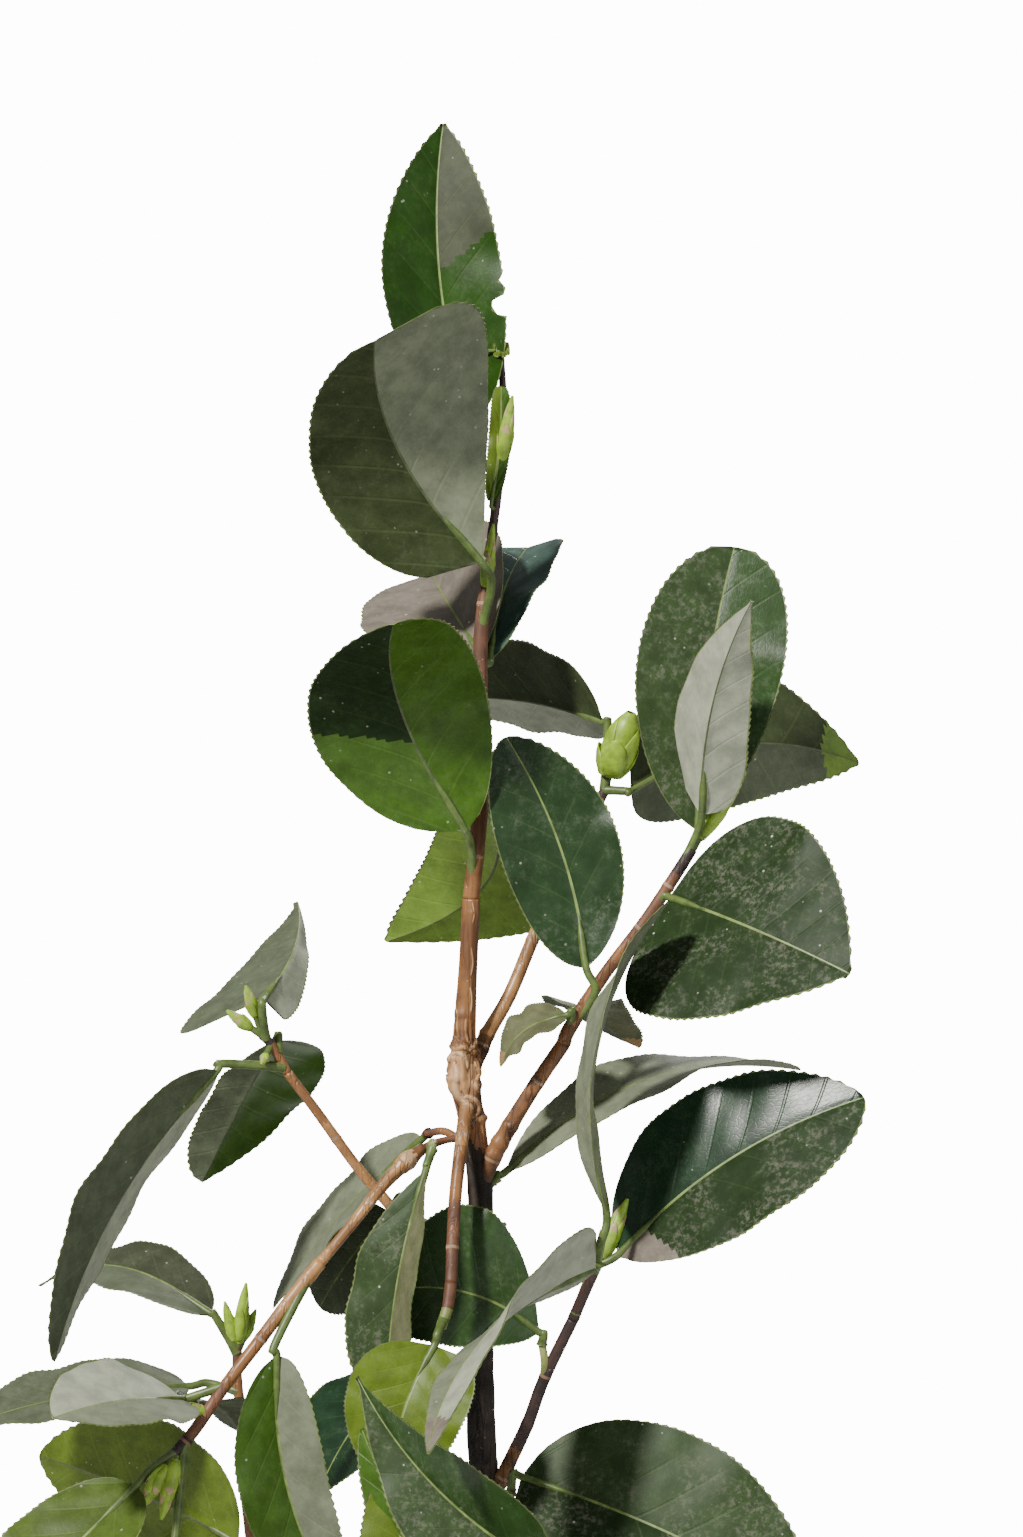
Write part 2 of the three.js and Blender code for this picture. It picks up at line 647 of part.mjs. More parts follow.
const shrub = new THREE.Group();
for (const [name, places] of Object.entries(LIMBS)) {
  const body = name === "trunk" ? limbSolid(places, LIMB_SIDES) : boughSolid(places);
  shrub.add(named(name, body, BARK));
}
const taken = Object.values(LIMBS).flatMap(limbBalls);
for (const mass of Object.values(MASSES)) {
  taken.push(...limbBalls(mass.stem), ...(mass.leaves ?? []).flatMap(leafBalls));
}
for (const [name, mass] of Object.entries(MASSES)) {
  const grown = mass.grown ? grownLeaves(limbLine(mass.stem).curve, mass.grown, taken) : [];
  const leaves = [...(mass.leaves ?? []), ...grown];
  shrub.add(named(name, massSolid(mass, leaves), FOLIAGE));
}

export default shrub;
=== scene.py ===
# Camellia shrub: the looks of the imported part, laid out as a Blender add-on.
# Places and sizes in the tables are millimetres in the part's own frame, +Z up, front towards -Y.
import math

import bmesh
import bpy
import numpy as np
from bpy.props import FloatProperty, FloatVectorProperty, PointerProperty
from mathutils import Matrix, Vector


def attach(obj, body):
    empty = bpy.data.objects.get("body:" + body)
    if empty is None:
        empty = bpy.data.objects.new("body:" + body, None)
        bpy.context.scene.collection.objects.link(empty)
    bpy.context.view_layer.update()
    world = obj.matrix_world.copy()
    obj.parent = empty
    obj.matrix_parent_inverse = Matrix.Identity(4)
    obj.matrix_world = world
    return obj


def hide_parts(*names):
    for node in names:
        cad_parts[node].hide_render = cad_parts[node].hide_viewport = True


bl_info = {
    "name": "Camellia Shrub",
    "version": (1, 0, 0),
    "blender": (4, 5, 0),
    "location": "3D View > Sidebar > Shrub",
    "description": "Builds the leaves, twigs, buds and bark of a young camellia shrub",
    "category": "Add Mesh",
}

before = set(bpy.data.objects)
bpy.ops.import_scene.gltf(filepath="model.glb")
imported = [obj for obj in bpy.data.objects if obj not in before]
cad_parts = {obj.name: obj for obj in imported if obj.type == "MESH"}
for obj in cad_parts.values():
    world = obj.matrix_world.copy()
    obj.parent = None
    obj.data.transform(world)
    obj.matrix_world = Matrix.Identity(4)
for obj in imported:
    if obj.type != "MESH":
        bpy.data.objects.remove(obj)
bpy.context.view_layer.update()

MM = 0.001
BODY = "root"

# The leaf's outline and the rule for grown leaves, as the part's source has them
LEAF_BASE_ROUND = 0.5
LEAF_TIP_ROUND = 0.66
LEAF_END_WIDTH = 0.05
STALK_REACH = 0.22
STALK_BEND = 0.4
TURN = math.radians(137.5)
GROWN_LENGTH = 74
GROWN_STALK = 11
GROWN_WIDTH = 0.56
GROWN_ARCH = 0.12
GROWN_FOLD = 14
GROWN_FIRST = 0.12
GROWN_SPREAD = 0.86
GROWN_TRIES = 300
GROWN_SIZES = (0.82, 1.12)
GROWN_LIFTS = (-10.2, 23.8)
GROWN_TURN_VARIES = 0.4
GROWN_FACE_LEAN = 0.3
GROWN_TWIST = 24
CHECK_STEPS = 6
CHECK_ACROSS = (-1, -0.5, 0, 0.5, 1)
BALL_STEP = 6
LIMB_ROOM = 2.5
LEAF_ROOM = 7
DICE_FACTOR = 16807
DICE_RANGE = 2147483647
DICE_START = 7919
BUD_PROFILE = (0.55, 0.9, 1, 0.86, 0.62, 0.2)


def leaf_at(at, base, tip, **more):
    """A listed leaf, with the values that are explained above the masses."""
    return dict(at=at, base=base, tip=tip, **more)


def bud_at(at, tip, **more):
    """A bud that leaves its stem at a share of its length."""
    return dict(at=at, tip=tip, **more)


# Limbs: the places a limb passes, each with its radius there
LIMBS = {
    "trunk": [
        [0, 0, 0, 8.6], [0, 0, 24, 6.4], [2, 1, 60, 5.7], [3, 1, 110, 5.2], [2, 0, 165, 4.8],
        [0, 0, 215, 4.6], [-2, 0, 266, 4.2], [-2, 0, 319, 4.0], [-4, 0, 341, 3.9], [-7, 0, 360, 4.6],
        [-7, 0, 374, 3.5], [-6, 0, 394, 3.0], [-5, 0, 416, 2.8],
    ],
    "right_inner_bough": [
        [-5, 2, 361, 2.4], [0, 7, 373, 2.4], [7, 12, 385, 2.2], [15, 17, 404, 2.1], [23, 22, 422, 2.0],
        [32, 27, 440, 1.9],
    ],
    "right_bough": [[-3, 0, 325, 3.1], [5, -3, 341, 2.7], [14, -6, 356, 2.4], [24, -9, 371, 2.3]],
    "lower_right_bough": [
        [0, 0, 224, 2.7], [8, -3, 241, 2.2], [13, -5, 252, 2.0], [18, -8, 266, 1.9], [27, -12, 285, 1.8],
    ],
    "drooping_bough": [[-6, -3, 352, 2.4], [-8, -11, 340, 2.1], [-10, -20, 321, 2.0], [-11, -31, 298, 1.9]],
    "left_bough": [
        [-5, 2, 341, 1.5], [-13, 1, 340, 1.5], [-19, -2, 338, 1.9], [-25, -5, 334, 3.0],
        [-33, -9, 326, 2.5], [-41, -12, 316, 2.3], [-52, -16, 303, 2.2],
    ],
    "upper_left_bough": [
        [-2, 1, 282, 2.3], [-15, 5, 299, 2.0], [-30, 6, 318, 1.8], [-41, 6, 331, 1.7], [-54, 5, 349, 1.6],
        [-63, 4, 361, 1.5],
    ],
    "back_bough": [[1, 0, 188, 2.7], [-8, 16, 205, 2.4], [-18, 33, 228, 2.2], [-24, 42, 255, 2.0]],
    "second_stem": [
        [2, 1, 66, 4.2], [-22, 20, 96, 3.8], [-54, 46, 140, 3.3], [-72, 60, 180, 2.9], [-78, 62, 214, 2.4],
        [-81, 62, 248, 1.8],
    ],
    "low_left_bough": [[2, 1, 112, 3.2], [-14, -8, 128, 2.6], [-36, -22, 144, 2.3], [-54, -32, 154, 2.0]],
    "low_right_bough": [[2, 0, 130, 3.0], [20, 8, 146, 2.5], [42, 18, 162, 2.2], [58, 24, 172, 1.9]],
    "low_front_bough": [[2, 1, 88, 3.2], [8, -20, 106, 2.7], [12, -46, 128, 2.4], [8, -64, 150, 2.1]],
    "low_back_bough": [[2, 1, 116, 3.0], [8, 20, 132, 2.5], [18, 44, 148, 2.2], [24, 60, 158, 1.9]],
}

# Masses of leaves. A mass has its own stem, which goes on from its limb. Each leaf leaves the
# stem at a share of its length, and has the middle of its blade's foot, its tip, the way its
# upper face looks, and its width. Arch is how far its back bows to the upper side, sway how far
# it bows sideways, fold the angle each half is raised, and twist its turn from foot to tip. Ends
# say how round the foot and the tip are, left_ends the same for the left half where it differs,
# and lean how much wider one half is. Bend says how far the stalk overshoots the blade.
MASSES = {
    "leader_foliage": {
        "stem": [
            [-5, 0, 416, 2.7], [-3, 0, 435, 2.6], [-2, 1, 450, 2.5], [-2, 1, 474, 2.4], [-2, 1, 498, 2.3],
            [0, 2, 519, 1.8], [2, 2, 534, 1.5], [4, 2, 551, 1.5], [5, 3, 573, 1.3], [4, 3, 594, 0.8],
        ],
        "leaves": [
            leaf_at(0.03, [-7, -9, 438], [-28, -62, 501], face=[-10, 75, 57], width=57, arch=14, sway=8,
                    fold=8, lean=0.05, ends=[0.4, 0.6], left_ends=[0.64, 0.6]),
            leaf_at(0.24, [0, 6, 447], [-33, 56, 401], face=[20, 75, 70], width=54, arch=6, sway=17,
                    fold=10, lean=0.18, ends=[0.5, 0.8]),
            leaf_at(0.41, [1, 6, 492], [13, 48, 529], face=[-30, -50, 75], width=33, arch=5, fold=10,
                    ends=[0.6, 0.22]),
            leaf_at(0.42, [-2, 4, 493], [-18, 62, 521], face=[-57, -35, 74], width=58, arch=6, fold=25),
            leaf_at(0.46, [-2, -9, 522], [-34, -58, 587], face=[-20, 75, 42], width=67, arch=12, sway=8,
                    fold=8, lean=-0.16, ends=[0.22, 0.42], left_ends=[0.9, 0.3]),
            leaf_at(0.76, [-5, 4, 566], [-14, 14, 662], face=[10, -100, 15], width=42, arch=3, sway=-6,
                    fold=25, ends=[0.68, 0.85]),
        ],
        "buds": [
            bud_at(0.52, [2, -4, 534], radius=2.2, length=22),
            bud_at(0.76, [8, -6, 574], radius=2.6, length=22),
        ],
    },
    "right_inner_foliage": {
        "stem": [[32, 27, 440, 1.8], [36, 29, 447, 1.7], [38, 29, 451, 1.6]],
        "leaves": [
            leaf_at(0.9, [46, 26, 450], [121, 60, 459], face=[-45, 88, 10], width=52, arch=4, sway=10,
                    fold=18, lean=0.12, ends=[0.5, 0.8], bend=0.15),
            leaf_at(0.9, [37, 30, 472], [-19, 60, 480], face=[30, 60, 70], width=44, arch=5, fold=16,
                    bend=0.08),
        ],
        "buds": [bud_at(0.8, [46, 22, 475], radius=6.2, length=22)],
    },
    "right_foliage": {
        "stem": [
            [24, -9, 371, 2.3], [26, -10, 376, 2.3], [37, -12, 393, 2.0], [49, -14, 409, 1.9],
            [59, -15, 424, 1.9], [64, -15, 432, 1.8],
        ],
        "leaves": [
            leaf_at(0.18, [31, -12, 395], [6, -5, 467], face=[-10, -100, 10], width=38, arch=-3, sway=4.5,
                    fold=12, ends=[0.6, 0.62]),
            leaf_at(0.2, [25, -13, 380], [4, -9, 364], face=[35, -35, 85], width=20, arch=5, fold=8),
            leaf_at(0.22, [32, 0, 381], [49, 48, 367], face=[10, 20, 90], width=26, arch=6, sway=-11,
                    fold=10),
            leaf_at(0.68, [57, -17, 417], [110, -60, 395], face=[-42, -75, 50], width=76, arch=4, fold=4,
                    lean=0.04, ends=[0.34, 0.9], left_ends=[0.5, 0.84]),
            leaf_at(0.95, [66, -12, 438], [78, 2, 527], face=[0, -100, 12], width=46, arch=2, sway=-3,
                    fold=8, ends=[0.8, 0.5], left_ends=[0.6, 0.46]),
            leaf_at(0.9, [67, -19, 443], [81, -54, 508], face=[45, 70, 35], width=34, arch=1, sway=5,
                    fold=35, lean=0.22, ends=[0.4, 1]),
        ],
        "buds": [bud_at(0.97, [81, -9, 456], radius=2.8, length=26)],
    },
    "trailing_leaf": {
        "stem": [[-2, 1, 322, 1.6], [1, 3, 326, 1.5], [4, 3, 328, 1.4]],
        "leaves": [
            leaf_at(0.6, [6, 3, 330], [100, 26, 361], face=[-35, -35, 90], width=33, arch=14, fold=8,
                    twist=50, ends=[0.8, 0.66]),
        ],
    },
    "lower_right_foliage": {
        "stem": [[27, -12, 285, 1.8], [31, -16, 295, 1.8], [34, -19, 302, 1.8]],
        "leaves": [
            leaf_at(0.1, [41, -20, 306], [116, -38, 356], face=[-35, -85, 45], width=52, arch=4, sway=-5,
                    fold=6, ends=[0.72, 0.66], left_ends=[0.5, 0.66]),
            leaf_at(0.97, [37, -34, 320], [55, -46, 416], face=[-100, -10, 10], width=36, arch=13, fold=6,
                    twist=40, ends=[0.85, 0.66]),
            leaf_at(0.9, [33, -26, 302], [-17, -106, 256], face=[-69, -10, 73], width=32, arch=10, sway=5,
                    fold=10, twist=50, lean=-0.4, ends=[0.2, 0.7]),
        ],
        "buds": [bud_at(0.95, [44, -17, 323], radius=3.4, length=21)],
    },
    "inner_leaf": {
        "stem": [[18, -8, 266, 1.3], [18, -10, 272, 1.3], [17, -10, 278, 1.2]],
        "leaves": [
            leaf_at(0.9, [16, -11, 281], [-32, -15, 294], face=[30, -90, 30], width=46, arch=5, sway=5,
                    fold=4, lean=0.2, ends=[0.75, 0.5]),
        ],
    },
    "hanging_leaf": {
        "stem": [[-18, -2, 338, 1.4], [-17, -11, 340, 1.4], [-17, -17, 338, 1.3]],
        "leaves": [
            leaf_at(0.9, [-19, -19, 332], [-31, -24, 258], face=[-65, -75, 0], width=30, arch=5, fold=25,
                    ends=[0.85, 0.6], bend=0.2),
        ],
    },
    "drooping_foliage": {
        "stem": [[-11, -31, 298, 1.9], [-12, -34, 291, 1.8], [-14, -36, 285, 1.7]],
        "leaves": [
            leaf_at(0.8, [-16, -41, 280], [-29, -48, 235], face=[0, -85, 50], width=38, arch=4, sway=3,
                    fold=4, ends=[0.35, 0.66]),
        ],
    },
    "left_foliage": {
        "stem": [
            [-52, -16, 303, 2.2], [-61, -20, 292, 2.1], [-71, -24, 279, 2.0], [-81, -28, 266, 1.9],
            [-90, -31, 253, 1.9], [-96, -33, 246, 1.8],
        ],
        "leaves": [
            leaf_at(0.08, [-65, -26, 275], [-43, -22, 193], face=[20, -95, 10], width=30, arch=2, sway=8,
                    fold=20, lean=0.12, bend=0.12),
            leaf_at(0.6, [-94, -28, 262], [-130, -72, 262], face=[10, -50, 85], width=38, arch=3, fold=8,
                    bend=0.1),
            leaf_at(0.75, [-90, -24, 260], [-78, 10, 247], face=[10, 20, 90], width=26, arch=4, fold=8,
                    bend=0.1),
            leaf_at(0.97, [-108, -34, 236], [-160, -60, 181], face=[-30, -80, 50], width=39, arch=3,
                    fold=8),
            leaf_at(0.9, [-96, -38, 218], [-102, -58, 147], face=[-20, -90, 20], width=44, arch=4, fold=10),
        ],
        "buds": [
            bud_at(0.95, [-107, -36, 229], radius=3.0, length=16),
            bud_at(0.97, [-100, -37, 226], radius=2.8, length=19),
            bud_at(0.72, [-91, -33, 261], radius=1.6, length=7),
        ],
    },
    "upper_left_foliage": {
        "stem": [[-63, 4, 361, 1.5], [-68, 2, 370, 1.5], [-71, 1, 373, 1.4]],
        "leaves": [
            leaf_at(0.1, [-85, -3, 362], [-134, -30, 274], face=[-75, 40, 40], width=38, arch=8, fold=10,
                    bend=0.12),
            leaf_at(0.3, [-67, 8, 371], [-93, 52, 323], face=[-20, 60, 80], width=38, arch=6, sway=3,
                    fold=14, lean=0.44, ends=[0.62, 0.8], left_ends=[0.9, 0.5]),
            leaf_at(0.8, [-70, 0, 385], [-62, 56, 414], face=[20, -50, 78], width=47, arch=2, sway=4,
                    fold=-44, lean=-0.52, ends=[0.14, 1.1], left_ends=[0.2, 1.2]),
        ],
        "buds": [
            bud_at(0.95, [-76, -2, 389], radius=2.2, length=11),
            bud_at(0.9, [-82, -2, 381], radius=2.2, length=10),
            bud_at(0.5, [-71, -4, 364], radius=1.5, length=5),
        ],
    },
    "arched_leaf": {
        "stem": [[-5, 2, 337, 1.4], [-13, 9, 342, 1.3], [-20, 14, 341, 1.2]],
        "leaves": [
            leaf_at(0.9, [-21, 17, 339], [-70, 53, 282], face=[-70, -35, 60], width=31, arch=4, fold=6),
        ],
    },
    "back_foliage": {
        "stem": [[-24, 42, 255, 2.0], [-28, 42, 280, 1.8], [-31, 36, 304, 1.5]],
        "leaves": [
            leaf_at(0.95, [-32, 48, 313], [-55, 60, 281], face=[-40, -80, 20], width=34, arch=3, fold=8),
            leaf_at(0.2, [-27, 40, 262], [-54, 20, 226], face=[-50, -50, 60], width=44, arch=4, fold=10),
            leaf_at(0.5, [-22, 54, 284], [-8, 128, 268], face=[0, 20, 90], width=46, arch=8, fold=12),
            leaf_at(0.75, [-19, 50, 294], [-4, 124, 296], face=[0, -20, 90], width=34, arch=8, fold=12),
        ],
    },
    "second_stem_foliage": {
        "stem": [[-81, 62, 248, 1.8], [-82, 62, 257, 1.6], [-82, 62, 268, 1.6]],
        "leaves": [
            leaf_at(0.9, [-91, 62, 279], [-150, 104, 284], face=[0, -40, 90], width=31, arch=12, fold=6,
                    bend=0.1),
            leaf_at(0.3, [-98, 62, 255], [-169, 40, 245], face=[0, -35, 93], width=36, arch=4, fold=8),
        ],
        "buds": [
            bud_at(0.9, [-79, 60, 289], radius=2.6, length=20),
            bud_at(0.9, [-86, 60, 283], radius=2.2, length=14),
            bud_at(0.9, [-76, 64, 280], radius=2.0, length=11),
        ],
    },
    "second_stem_leaf": {
        "stem": [[-77, 61, 190, 1.5], [-78, 64, 196, 1.4], [-77, 66, 200, 1.3]],
        "leaves": [
            leaf_at(0.9, [-82, 67, 203], [-149, 88, 229], face=[30, 85, 40], width=56, arch=4, fold=6),
        ],
    },
    "second_stem_low_foliage": {
        "stem": [[-54, 46, 140, 1.9], [-64, 62, 146, 1.7], [-70, 76, 156, 1.5]],
        "grown": dict(seed=43, count=5, first=90, rise=-6, space=[[-175, 22, 90], [-6, 175, 192]]),
    },
    "low_left_foliage": {
        "stem": [[-54, -32, 154, 2.0], [-68, -40, 162, 1.8], [-82, -50, 172, 1.5]],
        "grown": dict(seed=11, count=6, first=200, rise=-6, space=[[-180, -135, 90], [-10, 28, 200]]),
    },
    "low_right_foliage": {
        "stem": [[58, 24, 172, 1.9], [72, 29, 176, 1.7], [88, 32, 182, 1.5]],
        "grown": dict(seed=7, count=5, first=-20, rise=-4, space=[[8, -90, 100], [185, 100, 206]]),
    },
    "low_front_foliage": {
        "stem": [[8, -64, 150, 2.1], [2, -74, 172, 1.9], [-6, -78, 192, 1.7]],
        "leaves": [
            leaf_at(0.97, [16, -83, 219], [-39, -63, 273], face=[-50, -80, 20], width=38, arch=4, sway=-5,
                    fold=28, ends=[0.4, 1.2]),
            leaf_at(0.8, [-6, -66, 193], [-38, -53, 256], face=[-50, -70, 20], width=20, arch=3, fold=8),
            leaf_at(0.7, [-14, -68, 183], [-31, -55, 242], face=[-10, -90, 20], width=30, arch=3, fold=8),
        ],
        "grown": dict(seed=5, count=4, first=250, rise=-5, space=[[-60, -185, 90], [110, -30, 225]]),
    },
    "low_back_foliage": {
        "stem": [[24, 60, 158, 1.9], [30, 72, 166, 1.7], [34, 88, 174, 1.5]],
        "grown": dict(seed=41, count=5, first=60, rise=-10, space=[[-60, 24, 70], [150, 200, 194]]),
    },
    "wide_low_leaf": {
        "stem": [[0, -1, 212, 1.6], [5, -8, 222, 1.5], [8, -12, 232, 1.4]],
        "leaves": [
            leaf_at(0.9, [11, -14, 236], [99, -42, 200], face=[0, -90, 40], width=62, arch=4, sway=-2,
                    fold=6),
        ],
    },
}

# The shades of each leaf in the order of its mass: the upper face's two halves, then the under
# face's two halves, seen from the leaf's foot with its upper face on top
LOOKS = {
    "leader_foliage": [
        # First leaf: the bright under half is a painted glow of light shining through the blade, and the
        # near-black other half is a painted shadow cast by the leaf above it. Second leaf: its sunlit under
        # face is a painted glow of light shining through the blade.
        "lush lush bright shady", "green green sunlit sunlit",
        "bluish bluish grey grey", "rosy rosy grey grey",
        # Fifth leaf: the lighter ash under half is a painted sheen on the half turned to the light, the
        # darker moss half painted shade on the half turned away. Sixth leaf: the grey upper right half is a
        # painted reflection, and the dark saturated green of its left half is painted light shining through
        # the blade, darkened for shade.
        "green green ash moss", "lush stone grey grey",
    ],
    "right_inner_foliage": ["green green grey moss", "dusty grey moss silver"],
    "right_foliage": [
        "bottle bottle grey grey", "khaki khaki grey grey", "khaki khaki moss khaki",
        "dim dim grey grey", "dusty green grey grey",
        "green green silver silver",
    ],
    "trailing_leaf": ["ash ash ash ash"],
    "lower_right_foliage": [
        "deep dim grey grey", "ash grey ash ash", "silver ash silver silver",
    ],
    "inner_leaf": ["green green grey grey"],
    "hanging_leaf": ["khaki dusty grey grey"],
    # The drooping leaf's olive upper face is a painted glow of light shining through the blade.
    "drooping_foliage": ["olive olive grey grey"],
    "left_foliage": [
        # First leaf: its ash upper half is a painted sheen of light on the glossy blade.
        "ash bright grey grey", "ash silver grey grey", "deep deep grey grey",
        # Fourth leaf: the light yellow-green of its upper face is a painted glow of light shining through the
        # blade.
        "fern fern grey grey", "bright green grey grey",
    ],
    "upper_left_foliage": [
        "deep deep grey silver", "deep deep grey bright", "grey silver grey silver",
    ],
    # The arched leaf's pale ash is partly its grey-green and partly a painted glare of light on its glossy
    # upper face.
    "arched_leaf": ["ash ash ash ash"],
    "back_foliage": [
        "grey grey ash ash", "deep deep moss moss", "dusty dusty grey grey",
        "dusty dusty grey grey",
    ],
    "second_stem_foliage": ["grey stone grey grey", "grey grey grey grey"],
    # The olive under face, turned to the front, is a painted glow of light shining through the blade.
    "second_stem_leaf": ["green green olive olive"],
    "low_front_foliage": [
        "dusty green grey grey", "bright bright grey grey", "olive olive grey grey",
    ],
    "wide_low_leaf": ["dusty dim grey grey"],
}
GROWN_LOOKS = [
    "deep deep grey grey", "dusty dusty grey moss", "green deep moss grey",
    "dusty green grey grey",
]

# Torn leftovers of leaves that cling to the leading shoot
TORN_LEAVES = {
    "leader_foliage": [
        leaf_at(
            0.7, [1.4, -1, 541], [4.4, -1.5, 577.5], face=[0, -75, 10], stalk=0.5, width=7, arch=0.6,
            sway=1, fold=1.5, lean=0, ends=[0.3, 0.25], shades="olive bright olive bright".split(),
        ),
        leaf_at(
            0.97, [1.8, -1.5, 588.6], [7.2, -2, 589.2], face=[0, -75, 20], stalk=0.45, width=5, arch=0.3,
            sway=0, fold=0.8, lean=0, ends=[0.2, 0.16], shades="olive olive olive olive".split(),
        ),
    ],
}

# Patches of another shade: mass, leaf, shade, from and to along the leaf, half (-1, 1, or 0 for both)
PATCHES = [
    # painted light: the foot of the first leader leaf's shadowed half, lit beside the painted shadow's edge
    ("leader_foliage", 0, "bright", 0, 0.34, 1),
    # painted light: the foot of the sixth leader leaf's right half takes the dark green of light shining
    # through the blade, darkened for shade
    ("leader_foliage", 5, "lush", 0, 0.5, 1),
    # painted glow: the light yellow-green tip of the first inner leaf, where light shines through the blade
    ("right_inner_foliage", 0, "sunlit", 0.84, 1, 0),
    ("right_foliage", 1, "dried", 0.84, 1, 0),
    ("right_foliage", 2, "dried", 0.9, 1, 0),
    ("lower_right_foliage", 0, "rosy", 0, 0.12, 1),
    ("lower_right_foliage", 2, "rosy", 0.85, 1, 0),
]
# Bites out of a margin: mass, leaf, half, place along, reach along, depth as a share of the half
BITES = [
    ("leader_foliage", 5, 1, 0.36, 0.035, 0.22),
    ("leader_foliage", 5, 1, 0.44, 0.016, 0.09),
]

# Each shade: plain colour, roughness, gloss, how much dust lies on it, how strongly its veins show
SHADES = {
    "deep": ((0.011, 0.032, 0.014), 0.27, 0.22, 0.12, 0.22),
    # painted shadow: a near-black green that stands for a shadow cast on a leaf
    "shady": ((0.008, 0.022, 0.004), 0.40, 0.10, 0.08, 0.18),
    "bluish": ((0.042, 0.080, 0.064), 0.34, 0.12, 0.30, 0.22),
    "green": ((0.023, 0.055, 0.013), 0.31, 0.26, 0.25, 0.22),
    "bottle": ((0.0165, 0.040, 0.013), 0.27, 0.32, 0.25, 0.30),
    "lush": ((0.016, 0.050, 0.004), 0.36, 0.10, 0.10, 0.22),
    "dim": ((0.016, 0.033, 0.010), 0.44, 0.10, 0.60, 0.20),
    "dusty": ((0.030, 0.054, 0.018), 0.46, 0.14, 0.50, 0.20),
    "rosy": ((0.160, 0.138, 0.112), 0.50, 0.15, 0.60, 0.20),
    "bright": ((0.042, 0.096, 0.010), 0.33, 0.16, 0.12, 0.30),
    # painted glow: the light yellow-green of light shining through a blade
    "sunlit": ((0.130, 0.215, 0.030), 0.36, 0.18, 0.10, 0.40),
    "fern": ((0.056, 0.092, 0.013), 0.38, 0.14, 0.12, 0.35),
    "olive": ((0.088, 0.138, 0.012), 0.38, 0.14, 0.10, 0.40),
    "moss": ((0.036, 0.050, 0.019), 0.50, 0.12, 0.12, 0.35),
    "khaki": ((0.105, 0.112, 0.058), 0.50, 0.14, 0.20, 0.30),
    "stone": ((0.046, 0.055, 0.031), 0.50, 0.10, 0.15, 0.25),
    "grey": ((0.080, 0.098, 0.059), 0.52, 0.14, 0.18, 0.30),
    "ash": ((0.150, 0.172, 0.112), 0.52, 0.14, 0.20, 0.25),
    "silver": ((0.300, 0.325, 0.242), 0.52, 0.14, 0.15, 0.22),
    "dried": ((0.300, 0.190, 0.095), 0.70, 0.10, 0.20, 0.20),
}

# The other parts of a leaf: finish, which shared colour it has, roughness
LEAF_PARTS = {
    "margin": ("leaf margin", "rim", 0.5),
    "midrib": ("leaf midrib", "rib", 0.42),
    "under_rib": ("leaf under midrib", "under_rib", 0.5),
    "stalk": ("leaf stalk", "stalk", 0.42),
}

# The parts of a bud, in the same way
BUD_PARTS = {
    "bud_scale": ("bud scale", "bud", 0.45),
    "bud_tip": ("bud tip", "bud_tip", 0.5),
    "bud_stalk": ("bud stalk", "stalk", 0.45),
    "fresh_scale": ("fresh bud scale", "fresh_bud", 0.4),
}

# Which leaves go into which piece, and which nodes that piece stands for
LEAF_PIECES = {
    "leader_leaves": ["leader_foliage", "right_inner_foliage"],
    "right_leaves": ["right_foliage", "trailing_leaf", "lower_right_foliage"],
    "middle_leaves": ["inner_leaf", "hanging_leaf", "drooping_foliage", "back_foliage", "wide_low_leaf"],
    "left_leaves": ["left_foliage", "upper_left_foliage", "arched_leaf"],
    "second_stem_leaves": ["second_stem_foliage", "second_stem_leaf", "second_stem_low_foliage"],
    "low_side_leaves": ["low_left_foliage", "low_right_foliage"],
    "low_front_and_back_leaves": ["low_front_foliage", "low_back_foliage"],
}


# How finely a line's direction, length and even shares are measured, the gap between the tiles of
# the bake's layout in millimetres and the slack beside them, how near in millimetres points are
# welded, and how far apart the seeds of the masses lie
AXIS_STEP = 1e-3
LENGTH_STEPS = 200
EVEN_STEPS = 400
TILE_GAP = 1.5
TILE_SLACK = 1.06
WELD = 0.002
SEED_STEP = 17


def unit(vector):
    return vector / np.linalg.norm(vector)


def between(ends, share):
    return ends[0] + (ends[1] - ends[0]) * share


class Dice:
    """A run of throws that is the same for the same seed."""

    def __init__(self, seed):
        self.state = seed * DICE_START

    def draw(self):
        self.state = (self.state * DICE_FACTOR) % DICE_RANGE
        return self.state / DICE_RANGE


